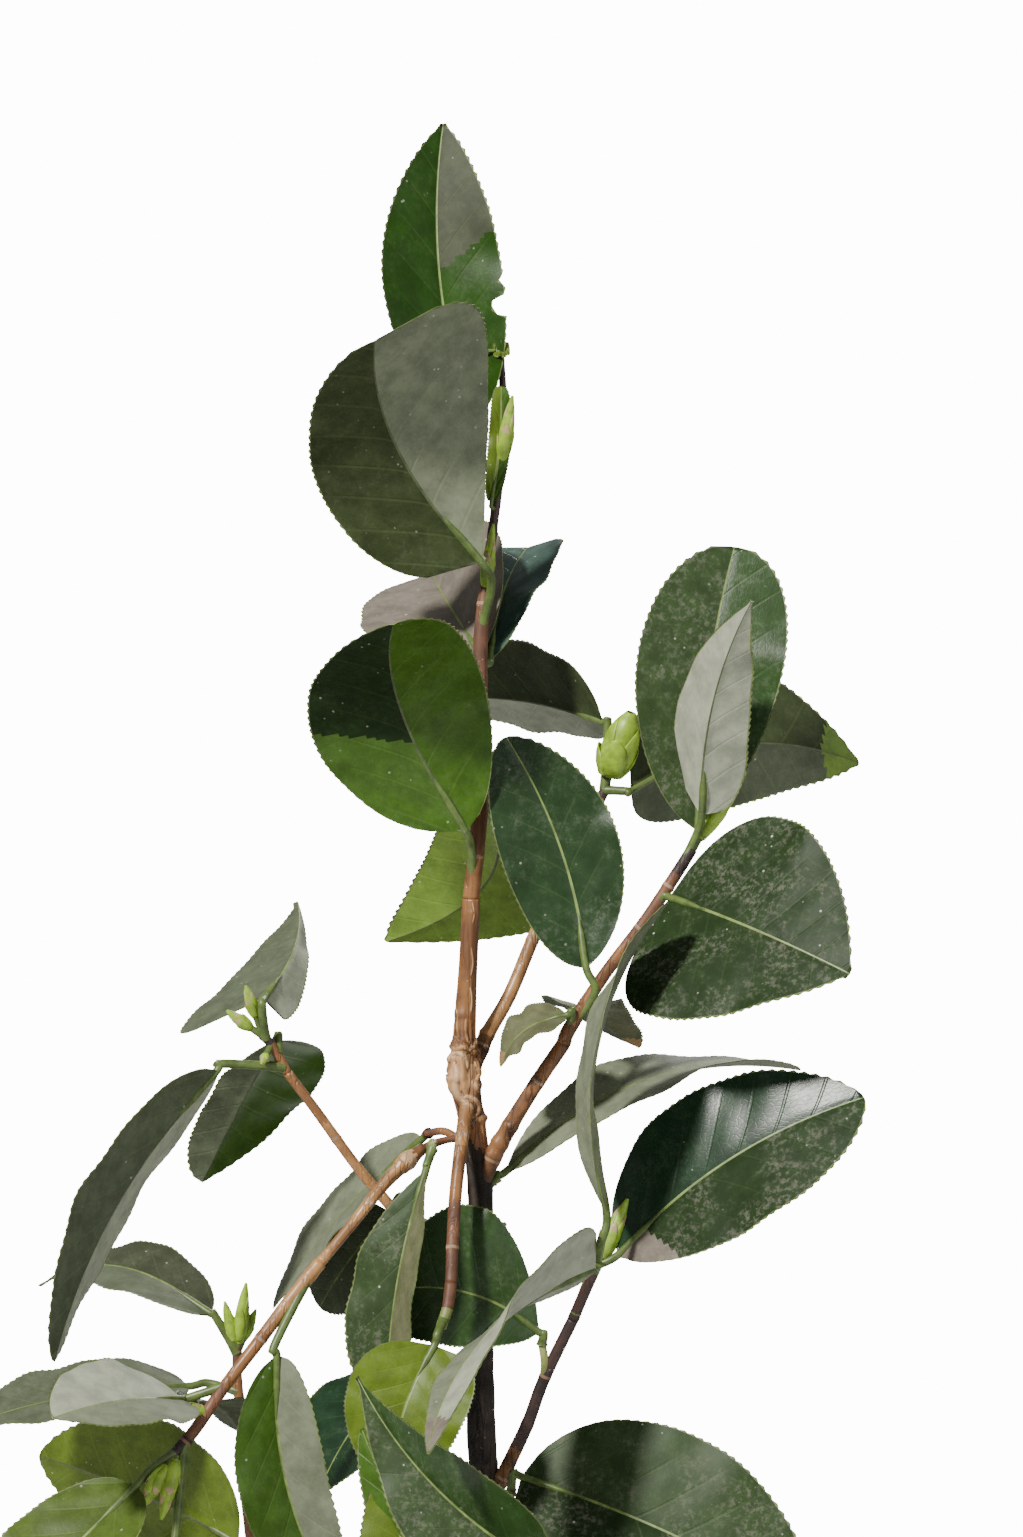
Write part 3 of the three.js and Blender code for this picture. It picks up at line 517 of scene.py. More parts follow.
class Line:
    """A smooth line through places, each of which may carry a radius."""

    def __init__(self, places):
        self.points = np.array([place[:3] for place in places], dtype=float)
        self.radii = np.array([place[3] if len(place) > 3 else 0.0 for place in places])
        first = 2 * self.points[0] - self.points[1]
        last = 2 * self.points[-1] - self.points[-2]
        self.guides = np.vstack([first, self.points, last])

    def at(self, shares):
        """Points at shares of the line, an equal share for each stretch between two places."""
        steps = np.atleast_1d(np.clip(shares, 0, 1)) * (len(self.points) - 1)
        index = np.minimum(steps.astype(int), len(self.points) - 2)
        t = (steps - index)[:, None]
        p0, p1, p2, p3 = (self.guides[index + k] for k in range(4))
        into = 0.5 * (p2 - p0)
        out = 0.5 * (p3 - p1)
        curve = (2 * p1 - 2 * p2 + into + out) * t**3 + (-3 * p1 + 3 * p2 - 2 * into - out) * t**2
        return curve + into * t + p1

    def radius(self, shares):
        stretches = len(self.points) - 1
        return np.interp(np.atleast_1d(shares) * stretches, np.arange(stretches + 1), self.radii)

    def length(self):
        places = self.at(np.linspace(0, 1, LENGTH_STEPS))
        return np.linalg.norm(np.diff(places, axis=0), axis=1).sum()

    def even_shares(self, step):
        """Shares that lie about a step apart along the line."""
        shares = np.linspace(0, 1, EVEN_STEPS)
        places = self.at(shares)
        run = np.concatenate([[0], np.cumsum(np.linalg.norm(np.diff(places, axis=0), axis=1))])
        count = max(3, int(round(run[-1] / step)))
        return np.interp(np.linspace(0, run[-1], count + 1), run, shares)


def leaf_outline(along, ends):
    base_round, tip_round = ends
    widest = base_round / (base_round + tip_round)
    peak = widest**base_round * (1 - widest) ** tip_round
    share = np.clip(along, 0, 1) ** base_round * (1 - np.clip(along, 0, 1)) ** tip_round / peak
    return np.maximum(share, LEAF_END_WIDTH)


class Blade:
    """A leaf's blade, by the part's own rule: where a place on it lies in space."""

    def __init__(self, leaf):
        self.leaf = leaf
        self.base = np.array(leaf["base"], dtype=float)
        self.reach = np.array(leaf["tip"], dtype=float) - self.base
        self.axis = unit(self.reach)
        face = np.array(leaf["face"], dtype=float)
        self.face = unit(face - self.axis * face.dot(self.axis))
        self.side = np.cross(self.axis, self.face)

    def places(self, along, offset, lift):
        """Places at shares of the length, offset and lifted in millimetres."""
        leaf = self.leaf
        turn = math.radians(leaf.get("twist", 0)) * (along - 0.5)
        across_way = self.side * np.cos(turn)[..., None] + self.face * np.sin(turn)[..., None]
        up_way = self.face * np.cos(turn)[..., None] - self.side * np.sin(turn)[..., None]
        fold = math.radians(leaf.get("fold", 0))
        bow = (4 * along * (1 - along))[..., None]
        return (
            self.base
            + self.reach * along[..., None]
            + self.face * bow * leaf.get("arch", 0)
            + self.side * bow * leaf.get("sway", 0)
            + across_way * (offset * math.cos(fold))[..., None]
            + up_way * (np.abs(offset) * math.sin(fold) + lift)[..., None]
        )

    def half(self, along, across=0):
        """Half of the width, on the side that across is on."""
        right_ends = self.leaf.get("ends", (LEAF_BASE_ROUND, LEAF_TIP_ROUND))
        left_ends = self.leaf.get("left_ends", right_ends)
        left, right = (leaf_outline(along, ends) for ends in (left_ends, right_ends))
        outline = np.where(np.less(across, 0), left, right)
        lean = 1 + self.leaf.get("lean", 0) * np.sign(across)
        return 0.5 * self.leaf["width"] * outline * lean


def blade_points(leaf):
    along, across = np.meshgrid(np.arange(CHECK_STEPS + 1) / CHECK_STEPS, CHECK_ACROSS, indexing="ij")
    blade = Blade(leaf)
    return blade.places(along, across * blade.half(along, across), np.zeros_like(along)).reshape(-1, 3)


def limb_balls(places):
    line = Line(places)
    shares = np.linspace(0, 1, math.ceil(line.length() / BALL_STEP) + 1)
    return np.column_stack([line.at(shares), line.radius(shares) + LIMB_ROOM])


def leaf_balls(leaf):
    points = blade_points(leaf)
    return np.column_stack([points, np.full(len(points), LEAF_ROOM)])


def grown_leaves(stem, rule, taken):
    """Leaves set round a stem: each turns on from the last, and dice vary it. One that would
    leave its mass's space, or touch a limb or a leaf already set, is skipped."""
    dice = Dice(rule["seed"])
    low, high = np.array(rule["space"], dtype=float)
    leaves = []
    for i in range(GROWN_TRIES):
        if len(leaves) == rule["count"]:
            break
        at = GROWN_FIRST + GROWN_SPREAD * len(leaves) / (rule["count"] - 1)
        heading = math.radians(rule["first"]) + i * TURN + GROWN_TURN_VARIES * (dice.draw() - 0.5)
        lift = math.radians(rule["rise"] + between(GROWN_LIFTS, dice.draw()))
        length = GROWN_LENGTH * between(GROWN_SIZES, dice.draw())
        level = math.cos(lift)
        out = np.array([math.cos(heading) * level, math.sin(heading) * level, math.sin(lift)])
        root = stem.at(at)[0]
        base = root + out * GROWN_STALK
        leaf = {
            "at": at,
            "base": base,
            "tip": base + out * length,
            "face": [GROWN_FACE_LEAN * (dice.draw() - 0.5 - out[i]) for i in (0, 1)] + [1],
            "width": GROWN_WIDTH * length,
            "arch": GROWN_ARCH * length,
            "fold": GROWN_FOLD,
            "twist": GROWN_TWIST * (dice.draw() - 0.5),
        }
        points = np.vstack([root + out * 0.5 * GROWN_STALK, blade_points(leaf)])
        balls = np.vstack(taken)
        gaps = np.linalg.norm(points[:, None, :] - balls[None, :, :3], axis=2) - balls[None, :, 3]
        if (points >= low).all() and (points <= high).all() and (gaps > 0).all():
            leaves.append(leaf)
            taken.append(leaf_balls(leaf))
    return leaves


def plan_leaves():
    """All leaves of all masses, each with its shades and a seed of its own."""
    taken = [limb_balls(places) for places in LIMBS.values()]
    for mass in MASSES.values():
        taken.append(limb_balls(mass["stem"]))
        taken.extend(leaf_balls(leaf) for leaf in mass.get("leaves", []))
    plan = {}
    for name, mass in MASSES.items():
        stem = Line(mass["stem"])
        own = [dict(leaf, shades=LOOKS[name][i].split()) for i, leaf in enumerate(mass.get("leaves", []))]
        own += TORN_LEAVES.get(name, [])
        grown = grown_leaves(stem, mass["grown"], taken) if "grown" in mass else []
        for i, leaf in enumerate(grown):
            leaf["shades"] = GROWN_LOOKS[i % len(GROWN_LOOKS)].split()
        plan[name] = own + grown
        for i, leaf in enumerate(plan[name]):
            leaf["seed"] = 1 + i + SEED_STEP * len(plan)
            leaf["root"] = stem.at(leaf["at"])[0]
    for name, i, *patch in PATCHES:
        plan[name][i].setdefault("patches", []).append(patch)
    for name, i, *bite in BITES:
        plan[name][i].setdefault("bites", []).append(bite)
    return plan


class MeshParts:
    """Vertices, faces, slots and leaf places gathered for one joined mesh."""

    def __init__(self):
        self.points = []
        self.faces = []
        self.slots = []
        self.places = []
        self.tiles = []
        self.count = 0

    def add_grid(self, points, slots, places=None, closed=False, flip=False):
        """A grid of points. slots has one entry for each face, places one (along, across) a point."""
        rows, columns = points.shape[:2]
        index = np.arange(rows * columns).reshape(rows, columns) + self.count
        if closed:
            index = np.hstack([index, index[:, :1]])
        a, b, c, d = index[:-1, :-1], index[1:, :-1], index[1:, 1:], index[:-1, 1:]
        order = (d, c, b, a) if flip else (a, b, c, d)
        self.faces.append(np.stack(order, axis=-1).reshape(-1, 4))
        self.slots.append(np.broadcast_to(slots, a.shape).reshape(-1))
        self.points.append(points.reshape(-1, 3))
        if places is None:
            places = np.zeros(points.shape[:2] + (2,))
        self.places.append(places.reshape(-1, 2))
        self.count += rows * columns
        corners = [(0, 1), (1, 1), (1, 0), (0, 0)] if flip else [(0, 0), (1, 0), (1, 1), (0, 1)]
        row, column = np.meshgrid(np.arange(a.shape[0]), np.arange(a.shape[1]), indexing="ij")
        share = [np.stack([(row + i) / a.shape[0], (column + j) / a.shape[1]], axis=-1) for i, j in corners]
        long = np.linalg.norm(np.diff(points[:, columns // 2], axis=0), axis=1).sum()
        wide = np.linalg.norm(np.diff(points, axis=1), axis=2).sum(axis=1).max()
        self.tiles.append((long, wide, np.stack(share, axis=2).reshape(-1, 2)))

    def tile_places(self):
        """Each grid's own tile of one square, all to the same scale and packed in shelves."""
        order = sorted(range(len(self.tiles)), key=lambda i: -self.tiles[i][0])
        area = sum((long + TILE_GAP) * (wide + TILE_GAP) for long, wide, _ in self.tiles)
        side = math.sqrt(area) * TILE_SLACK
        places = [None] * len(self.tiles)
        x = y = shelf = 0.0
        for i in order:
            long, wide, share = self.tiles[i]
            if x > 0 and x + wide > side:
                x, y, shelf = 0.0, y + shelf + TILE_GAP, 0.0
            places[i] = share[:, ::-1] * (wide, long) + (x, y)
            x += wide + TILE_GAP
            shelf = max(shelf, long)
        return np.vstack(places) / max(side, y + shelf, max(wide for _, wide, _ in self.tiles))

    def build(self, name, materials):
        mesh = bpy.data.meshes.new(name)
        points = np.vstack(self.points) * MM
        faces = np.vstack(self.faces)
        mesh.vertices.add(len(points))
        mesh.vertices.foreach_set("co", points.ravel())
        mesh.loops.add(faces.size)
        mesh.loops.foreach_set("vertex_index", faces.ravel())
        mesh.polygons.add(len(faces))
        mesh.polygons.foreach_set("loop_start", np.arange(0, faces.size, 4))
        mesh.polygons.foreach_set("loop_total", np.full(len(faces), 4))
        mesh.polygons.foreach_set("material_index", np.concatenate(self.slots).astype(int))
        mesh.polygons.foreach_set("use_smooth", np.ones(len(faces), dtype=bool))
        layer = mesh.uv_layers.new(name="leaf_place")
        layer.data.foreach_set("uv", np.vstack(self.places)[faces.ravel()].ravel())
        for material in materials:
            mesh.materials.append(material)
        bake = mesh.uv_layers.new(name="OFBake")
        bake.data.foreach_set("uv", self.tile_places().ravel())
        mesh.update(calc_edges=True)
        joined = bmesh.new()
        joined.from_mesh(mesh)
        bmesh.ops.remove_doubles(joined, verts=joined.verts, dist=WELD * MM)
        joined.to_mesh(mesh)
        joined.free()
        mesh.validate()
        piece = bpy.data.objects.new(name, mesh)
        bpy.context.scene.collection.objects.link(piece)
        return piece


# The leaf mesh: rows along it, columns from the midrib out to each margin, and half the midrib's
# and the whole margin's width in millimetres
LEAF_ROWS = 66
INNER_COLUMNS = 11
RIB_HALF_WIDTH = 0.42
RIM_WIDTH = 0.25

# The side veins: pairs, how far they sweep to the tip, where the first starts, width, how their
# sweep curves, how they thin to the margin, and how fast they rise beside the midrib
VEIN_PAIRS = 7
VEIN_SWEEP = 0.24
VEIN_START = 0.3
VEIN_WIDTH = 0.11
VEIN_CURVE = 0.85
VEIN_THINNING = 0.5
VEIN_RISE = 4

# The leaf's stalk: sides and rows, its radii in millimetres at the twig and at the blade, how its
# first rows flare, how deep its end lies in the blade, and from where on and how much it thins
STALK_SIDES = 14
STALK_ROWS = 26
STALK_RADII = (1.5, 1.15)
STALK_FLARE = (1.25, 1.12, 1.04)
STALK_SUNK = 0.6
STALK_THINS_FROM = 0.85
STALK_THINS_BY = 0.8

# Relief of the blade: waves of the margin (height, waves along the leaf, shift with the leaf's
# seed, shift of one half), the midrib's width in millimetres, the groove above it and its taper,
# how far the rib below tapers, and how much thinner the blade is at its margin
MARGIN_WAVES = ((1.0, 2.1, 0.37, 0.21), (0.5, 4.3, 0.61, 0.4))
RIB_SPREAD = 0.9
GROOVE_DEPTH = 0.35
GROOVE_TAPER = 0.5
UNDER_RIB_TAPER = 0.85
MARGIN_THINNING = 0.45

# Shares of a narrow half that its rib and rim take, the rib's width from foot to tip, the half
# width in millimetres at which teeth are full, how far a tooth leans to the tip, as a share of a
# row, how steeply a bite cuts in, and the least half width in millimetres that shares are taken of
RIB_SHARE = 0.35
RIM_SHARE = 0.25
RIB_TAPERS = (1.25, 0.8)
FULL_TEETH_AT = 6
TOOTH_LEAN = 0.35
BITE_STEEPNESS = 1.5
LEAST_HALF = 0.01


def leaf_lift(blade, along, offset, half, sizes, under):
    """How far a place on the leaf stands off the blade's plain surface, in millimetres."""
    seed = blade.leaf["seed"]
    reach = np.clip(np.abs(offset) / np.maximum(half.max(), 1), 0, 1)
    edge = np.clip(np.abs(offset) / np.maximum(half, LEAST_HALF), 0, 1)
    phase = (along - VEIN_SWEEP * reach**VEIN_CURVE) * VEIN_PAIRS + VEIN_START
    away = np.abs(phase - np.round(phase))
    vein = np.exp(-((away / VEIN_WIDTH) ** 2)) * np.clip(1 - edge, 0, 1) ** VEIN_THINNING
    vein = vein * np.clip(VEIN_RISE * reach, 0, 1)
    quilt = np.cos(2 * math.pi * phase) * np.sin(math.pi * edge) * np.clip(1 - along, 0, 1)
    side = np.sign(offset)
    wave = 0 * edge
    for high, waves, by_seed, by_side in MARGIN_WAVES:
        wave += high * edge**2 * np.sin(2 * math.pi * (waves * along + by_seed * seed + by_side * side))
    rib = np.exp(-((offset / RIB_SPREAD) ** 2))
    lift = sizes.wave_height * wave * np.sin(math.pi * np.clip(along, 0, 1)) - sizes.quilt_height * quilt
    lift -= sizes.vein_depth * vein
    if under:
        thin = 1 - MARGIN_THINNING * edge
        return lift - sizes.leaf_thickness * thin - sizes.rib_height * rib * (1 - UNDER_RIB_TAPER * along)
    return lift - GROOVE_DEPTH * rib * (1 - GROOVE_TAPER * along)


def half_columns(blade, leaf, shares, sizes, side):
    """Columns of one half from the midrib out, the half's width, and the teeth on its margin."""
    half = blade.half(shares, side)
    for bite_side, place, reach, depth in leaf.get("bites", []):
        if bite_side == side:
            hollow = BITE_STEEPNESS - BITE_STEEPNESS * ((shares - place) / reach) ** 2
            half = half * (1 - depth * np.clip(hollow, 0, 1))
    rib = np.minimum(RIB_HALF_WIDTH, RIB_SHARE * half) * (RIB_TAPERS[0] - RIB_TAPERS[1] * shares)
    rim = np.minimum(RIM_WIDTH, RIM_SHARE * half)
    inner = np.linspace(0, 1, INNER_COLUMNS + 1)
    columns = np.stack([0 * half, *(rib + (half - rim - rib) * q for q in inner), half], axis=1)
    tooth = (np.arange(LEAF_ROWS + 1) % 2) * np.clip(half / FULL_TEETH_AT, 0, 1)
    columns[:, -1] += sizes.tooth_depth * tooth
    return columns, half, tooth


def face_slots(leaf, names, rib, places, slot_of):
    """The slot of every face of one side of the blade."""
    cells = INNER_COLUMNS
    row = [slot_of["margin"]] + [slot_of[names[0]]] * cells + [slot_of[rib]] * 2
    row += [slot_of[names[1]]] * cells + [slot_of["margin"]]
    slots = np.tile(row, (LEAF_ROWS, 1))
    along = places[:-1, :-1, 0]
    across = 2 * places[:-1, :-1, 1] - 1
    inside = np.ones(len(row), dtype=bool)
    inside[[0, cells + 1, cells + 2, -1]] = False
    for shade, start, end, side in leaf.get("patches", []):
        sweep = along - 0.5 * VEIN_SWEEP * np.abs(across)
        here = (sweep >= start - 0.5 * VEIN_SWEEP * (start == 0)) & (sweep <= end) & inside
        if side:
            here &= across * side > 0
        slots[here] = slot_of[shade]
    return slots


def add_leaf(parts, leaf, sizes, slot_of):
    blade = Blade(leaf)
    shares = np.linspace(0, 1, LEAF_ROWS + 1)
    left, left_half, tooth = half_columns(blade, leaf, shares, sizes, -1)
    right, right_half, _ = half_columns(blade, leaf, shares, sizes, 1)
    offset = np.hstack([-left[:, :0:-1], right])
    along = np.broadcast_to(shares[:, None], offset.shape).copy()
    along[:, [0, -1]] += (TOOTH_LEAN * tooth / LEAF_ROWS)[:, None]
    half_grid = np.where(offset < 0, left_half[:, None], right_half[:, None])
    over = blade.places(along, offset, leaf_lift(blade, along, offset, half_grid, sizes, False))
    under = blade.places(along, offset, leaf_lift(blade, along, offset, half_grid, sizes, True))
    places = np.stack([along, 0.5 + 0.5 * offset / half_grid.max()], axis=-1)
    names = leaf["shades"]
    margin, midrib = slot_of["margin"], slot_of["midrib"]
    parts.add_grid(over, face_slots(leaf, names[:2], "midrib", places, slot_of), places, flip=True)
    parts.add_grid(under, face_slots(leaf, names[2:], "under_rib", places, slot_of), places)
    for column, flip in ((0, True), (-1, False)):
        wall = np.stack([over[:, column], under[:, column]], axis=1)
        parts.add_grid(wall, margin, places[:, [column, column]], flip=flip)
    for row, flip in ((0, False), (-1, True)):
        wall = np.stack([over[row], under[row]], axis=1)
        parts.add_grid(wall, midrib, places[[row, row]].transpose(1, 0, 2), flip=flip)


def tube_grid(line, shares, sides, radius, relief=None):
    """Points round a line, as (rows, sides, 3). relief adds millimetres at (row, side)."""
    centre = line.at(shares)
    ahead, behind = (line.at(np.clip(shares + step, 0, 1)) for step in (AXIS_STEP, -AXIS_STEP))
    along = ahead - behind
    along /= np.linalg.norm(along, axis=1)[:, None]
    side = np.cross(along, [0.0, 1.0, 0.0])
    side /= np.linalg.norm(side, axis=1)[:, None]
    up = np.cross(side, along)
    turn = np.arange(sides) * 2 * math.pi / sides
    size = np.broadcast_to(np.asarray(radius)[:, None], (len(shares), sides))
    if relief is not None:
        size = size + relief
    ring = side[:, None, :] * np.cos(turn)[None, :, None] + up[:, None, :] * np.sin(turn)[None, :, None]
    return centre[:, None, :] + ring * size[..., None]


def add_cap(parts, ring, slot):
    """Closes a tube's end with a ring drawn in to its middle."""
    middle = np.broadcast_to(ring.mean(axis=0), ring.shape)
    parts.add_grid(np.stack([ring, middle]), slot, closed=True)


def add_stalk(parts, leaf, sizes, slot_of):
    blade = Blade(leaf)
    root = np.array(leaf["root"])
    into_along = np.array([STALK_REACH])
    into = blade.places(into_along, np.zeros(1), np.array([-STALK_SUNK * sizes.leaf_thickness]))[0]
    bend = blade.base - blade.axis * leaf.get("bend", STALK_BEND) * np.linalg.norm(blade.base - root)
    line = Line([root, bend, blade.base, into])
    shares = np.linspace(0, 1, STALK_ROWS + 1)
    first, last = STALK_RADII
    radius = first + (last - first) * shares
    end = (shares - STALK_THINS_FROM) / (1 - STALK_THINS_FROM)
    radius *= np.where(end > 0, 1 - STALK_THINS_BY * end, 1.0)
    radius[:3] *= STALK_FLARE
    radius *= leaf.get("stalk", 1)
    parts.add_grid(tube_grid(line, shares, STALK_SIDES, radius), slot_of["stalk"], closed=True)


# Wood: how finely limbs are meshed, in millimetres and sides, the first seed of each kind, and
# how far along the trunk a change of finish leans from side to side, so that the painted shade
# of the lower trunk reaches higher on its left side
LIMB_ROW = 1.0
LIMB_SIDES = 36
TWIG_SIDES = 24
FINE_LIMBS = {"trunk": (0.7, 60)}
LIMB_SEED = 3
TWIG_SEED = 40
TRUNK_LEAN = 0.03

# Ridges: how finely they are meshed, how deep they sit in the bark as a share of their half width,
# the steps and passes that seat them, how near the trunk's edge they come, and how blunt and how
# thin their ends are
RIDGE_SIDES = 10
RIDGE_ROWS = 40
RIDGE_SUNK = 0.3
RIDGE_STEPS = 600
RIDGE_PASSES = 4
RIDGE_EDGE = 0.98
RIDGE_BLUNTNESS = 4
RIDGE_LEAST = 0.02

# Wood finishes: light tone, dark tone, roughness, how many cracks, how many pale flecks
WOODS = {
    # painted shade: near-black brown that stands for the shade under the leaves
    "dark_bark": ((0.050, 0.031, 0.020), (0.012, 0.008, 0.006), 0.76, 0.9, 0.25),
    "tan_bark": ((0.27, 0.118, 0.042), (0.07, 0.027, 0.010), 0.52, 0.8, 0.3),
    "knot_bark": ((0.50, 0.270, 0.120), (0.16, 0.070, 0.028), 0.62, 0.8, 0.3),
    "tan_twig": ((0.44, 0.225, 0.080), (0.23, 0.105, 0.036), 0.38, 0.2, 0.25),
    "pale_twig": ((0.56, 0.360, 0.200), (0.32, 0.170, 0.080), 0.48, 0.3, 0.4),
    "orange_twig": ((0.27, 0.120, 0.040), (0.13, 0.052, 0.017), 0.40, 0.2, 0.25),
    "red_twig": ((0.19, 0.078, 0.036), (0.085, 0.034, 0.017), 0.54, 0.2, 0.4),
    "purple_twig": ((0.060, 0.030, 0.024), (0.022, 0.012, 0.011), 0.50, 0.1, 0.3),
    "ring_scar": ((0.46, 0.31, 0.20), (0.20, 0.11, 0.06), 0.7, 0.6, 0.1),
    "green_shoot": ((0.30, 0.34, 0.10), (0.16, 0.19, 0.05), 0.42, 0.0, 0.2),
}

# Wood of each limb and stem: from which share of its length on, and which finish
LIMB_WOOD = {
    # the trunk's near-black lower part is painted shade
    "trunk": [
        (0, "dark_bark"), (0.655, "tan_bark"), (0.695, "knot_bark"), (0.8, "tan_bark"),
        (0.86, "orange_twig"),
    ],
    "right_inner_bough": [(0, "tan_bark"), (0.18, "tan_twig")],
    "right_bough": [(0, "tan_bark"), (0.75, "orange_twig")],
    "lower_right_bough": [(0, "tan_bark"), (0.3, "purple_twig")],
    "drooping_bough": [(0, "tan_twig"), (0.35, "orange_twig"), (0.65, "red_twig")],
    "left_bough": [(0, "red_twig"), (0.3, "tan_bark"), (0.44, "pale_twig"), (0.52, "tan_twig")],
    "upper_left_bough": [(0, "tan_twig"), (0.75, "orange_twig")],
    "back_bough": [(0, "tan_bark"), (0.35, "green_shoot")],
    # the second stem's foot takes the same painted shade
    "second_stem": [(0, "dark_bark"), (0.5, "tan_bark"), (0.8, "orange_twig")],
}
OTHER_LIMB_WOOD = [(0, "tan_bark")]
STEM_WOOD = {
    "leader_foliage": [(0, "orange_twig"), (0.35, "red_twig"), (0.52, "purple_twig")],
    "right_inner_foliage": [(0, "orange_twig"), (0.5, "purple_twig")],
    "right_foliage": [(0, "orange_twig"), (0.5, "red_twig"), (0.8, "purple_twig")],
    "trailing_leaf": [(0, "green_shoot")],
    "lower_right_foliage": [(0, "purple_twig")],
    "inner_leaf": [(0, "green_shoot")],
    "hanging_leaf": [(0, "green_shoot")],
    "drooping_foliage": [(0, "red_twig"), (0.5, "green_shoot")],
    "left_foliage": [(0, "tan_twig"), (0.35, "orange_twig"), (0.6, "red_twig"), (0.85, "purple_twig")],
    "upper_left_foliage": [(0, "orange_twig"), (0.5, "purple_twig")],
}
OTHER_STEM_WOOD = [(0, "orange_twig"), (0.6, "red_twig")]

# Bumps on limbs: share of the limb, turn in degrees (90 faces the front), length, width, height in mm
LIMB_BUMPS = {
    "trunk": [
        (0.708, 92, 4.4, 4.4, -1.3), (0.708, 92, 2.7, 2.7, 2.9), (0.765, 84, 8, 2.8, -1.0),
        (0.765, 84, 9, 1.3, 1.9), (0.812, 62, 1.2, 5, 1.2), (0.80, 140, 1.1, 4, 1.3),
        (0.785, 30, 1.2, 3, 1.1), (0.775, 165, 3.5, 2.4, 1.5), (0.745, 20, 5, 2.2, 1.5),
        (0.735, 138, 1.2, 4, 1.0), (0.728, 125, 2.4, 1.4, 1.2), (0.75, 50, 1.0, 2.5, 1.0),
        (0.688, 100, 1.1, 6, 0.9), (0.68, 50, 1.0, 5, 0.8), (0.69, 160, 1.2, 3, 0.9),
        (0.47, 20, 10, 4, 0.8), (0.86, 40, 1.2, 3, 0.5),
    ],
    "left_bough": [(0.5, 90, 2.6, 60, 0.7), (0.545, 90, 0.7, 60, 0.35), (0.85, 90, 60, 60, -0.6)],
    "right_bough": [(0.3, 80, 1.2, 5, 0.7), (0.42, 110, 1.0, 5, 0.5), (0.22, 70, 1.5, 4, 0.6)],
    "right_inner_bough": [(0.12, 90, 3, 4, 0.7), (0.2, 60, 1.0, 5, 0.5)],
}

# Node rings: the gap between two, their height and width, all in millimetres, the thickest limb
# whose rings are scars, how near its middle a ring is scarred, how uneven a ring is, and how far
# its seed is from the bark's
RING_GAP = (16, 44)
RING_HEIGHT = 0.2
RING_WIDTH = 0.7
RING_LIMIT = 4.2
RING_SCAR_FROM = 0.75
RING_ROUGHNESS = 0.3
RING_SEED_STEP = 5

# The bark: how far its finish wanders at a change, its waves, the radius in millimetres from which
# it turns old, over how much more it does, how old the young wood is at least, and how much of its
# relief is waves and how much is cracks
SLOT_WANDER = 0.012
RIPPLES = 18
RIPPLE_TURNS = 9
RIPPLE_PITCHES = (1.5, 10)
RIPPLE_SCALE = 5
BARK_GRAIN = 3.0
OLD_FROM = 1.6
OLD_OVER = 2.4
OLD_LEAST = 0.12
ROUGH_SHARE = 0.55
CRACK_SHARE = 0.8
CRACK_STEEPNESS = 6

# The photograph's middle pixel, the place (x, z) that it shows, and millimetres a pixel at the trunk
PHOTO_MIDDLE = (511.5, 768.5)
PHOTO_SHOWS = (7.7, 457.1)
PHOTO_SCALE = 0.315

# Ridges that curl over the knot and flakes above it: wood, half width in millimetres, and
# the pixels of the photograph that the ridge passes
KNOT_RIDGES = {
    "collar": (
        "knot_bark", 0.85,
        [(444, 1052), (449, 1046), (456, 1049), (463, 1046), (470, 1049), (476, 1043), (480, 1036)],
    ),
    "arch_under_collar": (
        "pale_twig", 0.9,
        [(449, 1065), (450, 1056), (458, 1052), (466, 1058), (468, 1069)],
    ),
    "pale_strand": ("pale_twig", 1.4, [(453, 1060), (457, 1074), (455, 1086), (459, 1096), (467, 1103)]),
    "knob_curl": (
        "pale_twig", 1.0,
        [
            (460, 1102), (467, 1096), (476, 1100), (479, 1109), (473, 1116), (465, 1115), (462, 1108),
            (467, 1103), (472, 1107), (469, 1110),
        ],
    ),
    "scar_under_knob": ("ring_scar", 0.7, [(454, 1117), (463, 1122), (472, 1121), (479, 1115)]),
    "left_edge_high": ("knot_bark", 0.6, [(446, 1074), (449, 1084), (448, 1095)]),
    "left_edge_low": ("knot_bark", 0.6, [(449, 1097), (453, 1106), (452, 1114)]),
    "right_edge": ("knot_bark", 0.9, [(476, 1060), (480, 1072), (476, 1082), (479, 1092)]),
    "left_fold": ("knot_bark", 0.7, [(445, 1055), (446, 1066), (450, 1075)]),
    "flake_right_high": ("pale_twig", 0.35, [(471, 946), (473, 962), (471, 976)]),
    "flake_right_middle": ("pale_twig", 0.35, [(470, 986), (472, 998), (471, 1012)]),
    "flake_left_middle": ("pale_twig", 0.3, [(457, 990), (456, 1003), (457, 1014)]),
    "flake_middle_low": ("knot_bark", 0.4, [(458, 1014), (457, 1026), (459, 1038)]),
    "flake_right_low": ("knot_bark", 0.45, [(466, 1018), (466, 1030), (468, 1041)]),
    "flake_left_low": ("knot_bark", 0.4, [(452, 1020), (451, 1032), (449, 1043)]),
    "step_over_collar": ("knot_bark", 0.55, [(447, 1041), (453, 1036), (460, 1041)]),
    "flake_highest": ("pale_twig", 0.3, [(472, 900), (474, 914), (472, 925)]),
    "scar_lowest": ("ring_scar", 0.45, [(451, 1130), (460, 1133), (468, 1131)]),
}


def photo_place(pixel):
    """The place (x, 0, z) that a pixel of the photograph shows on the trunk, in millimetres."""
    across, down = np.subtract(pixel, PHOTO_MIDDLE) * PHOTO_SCALE
    return PHOTO_SHOWS[0] + across, 0, PHOTO_SHOWS[1] - down


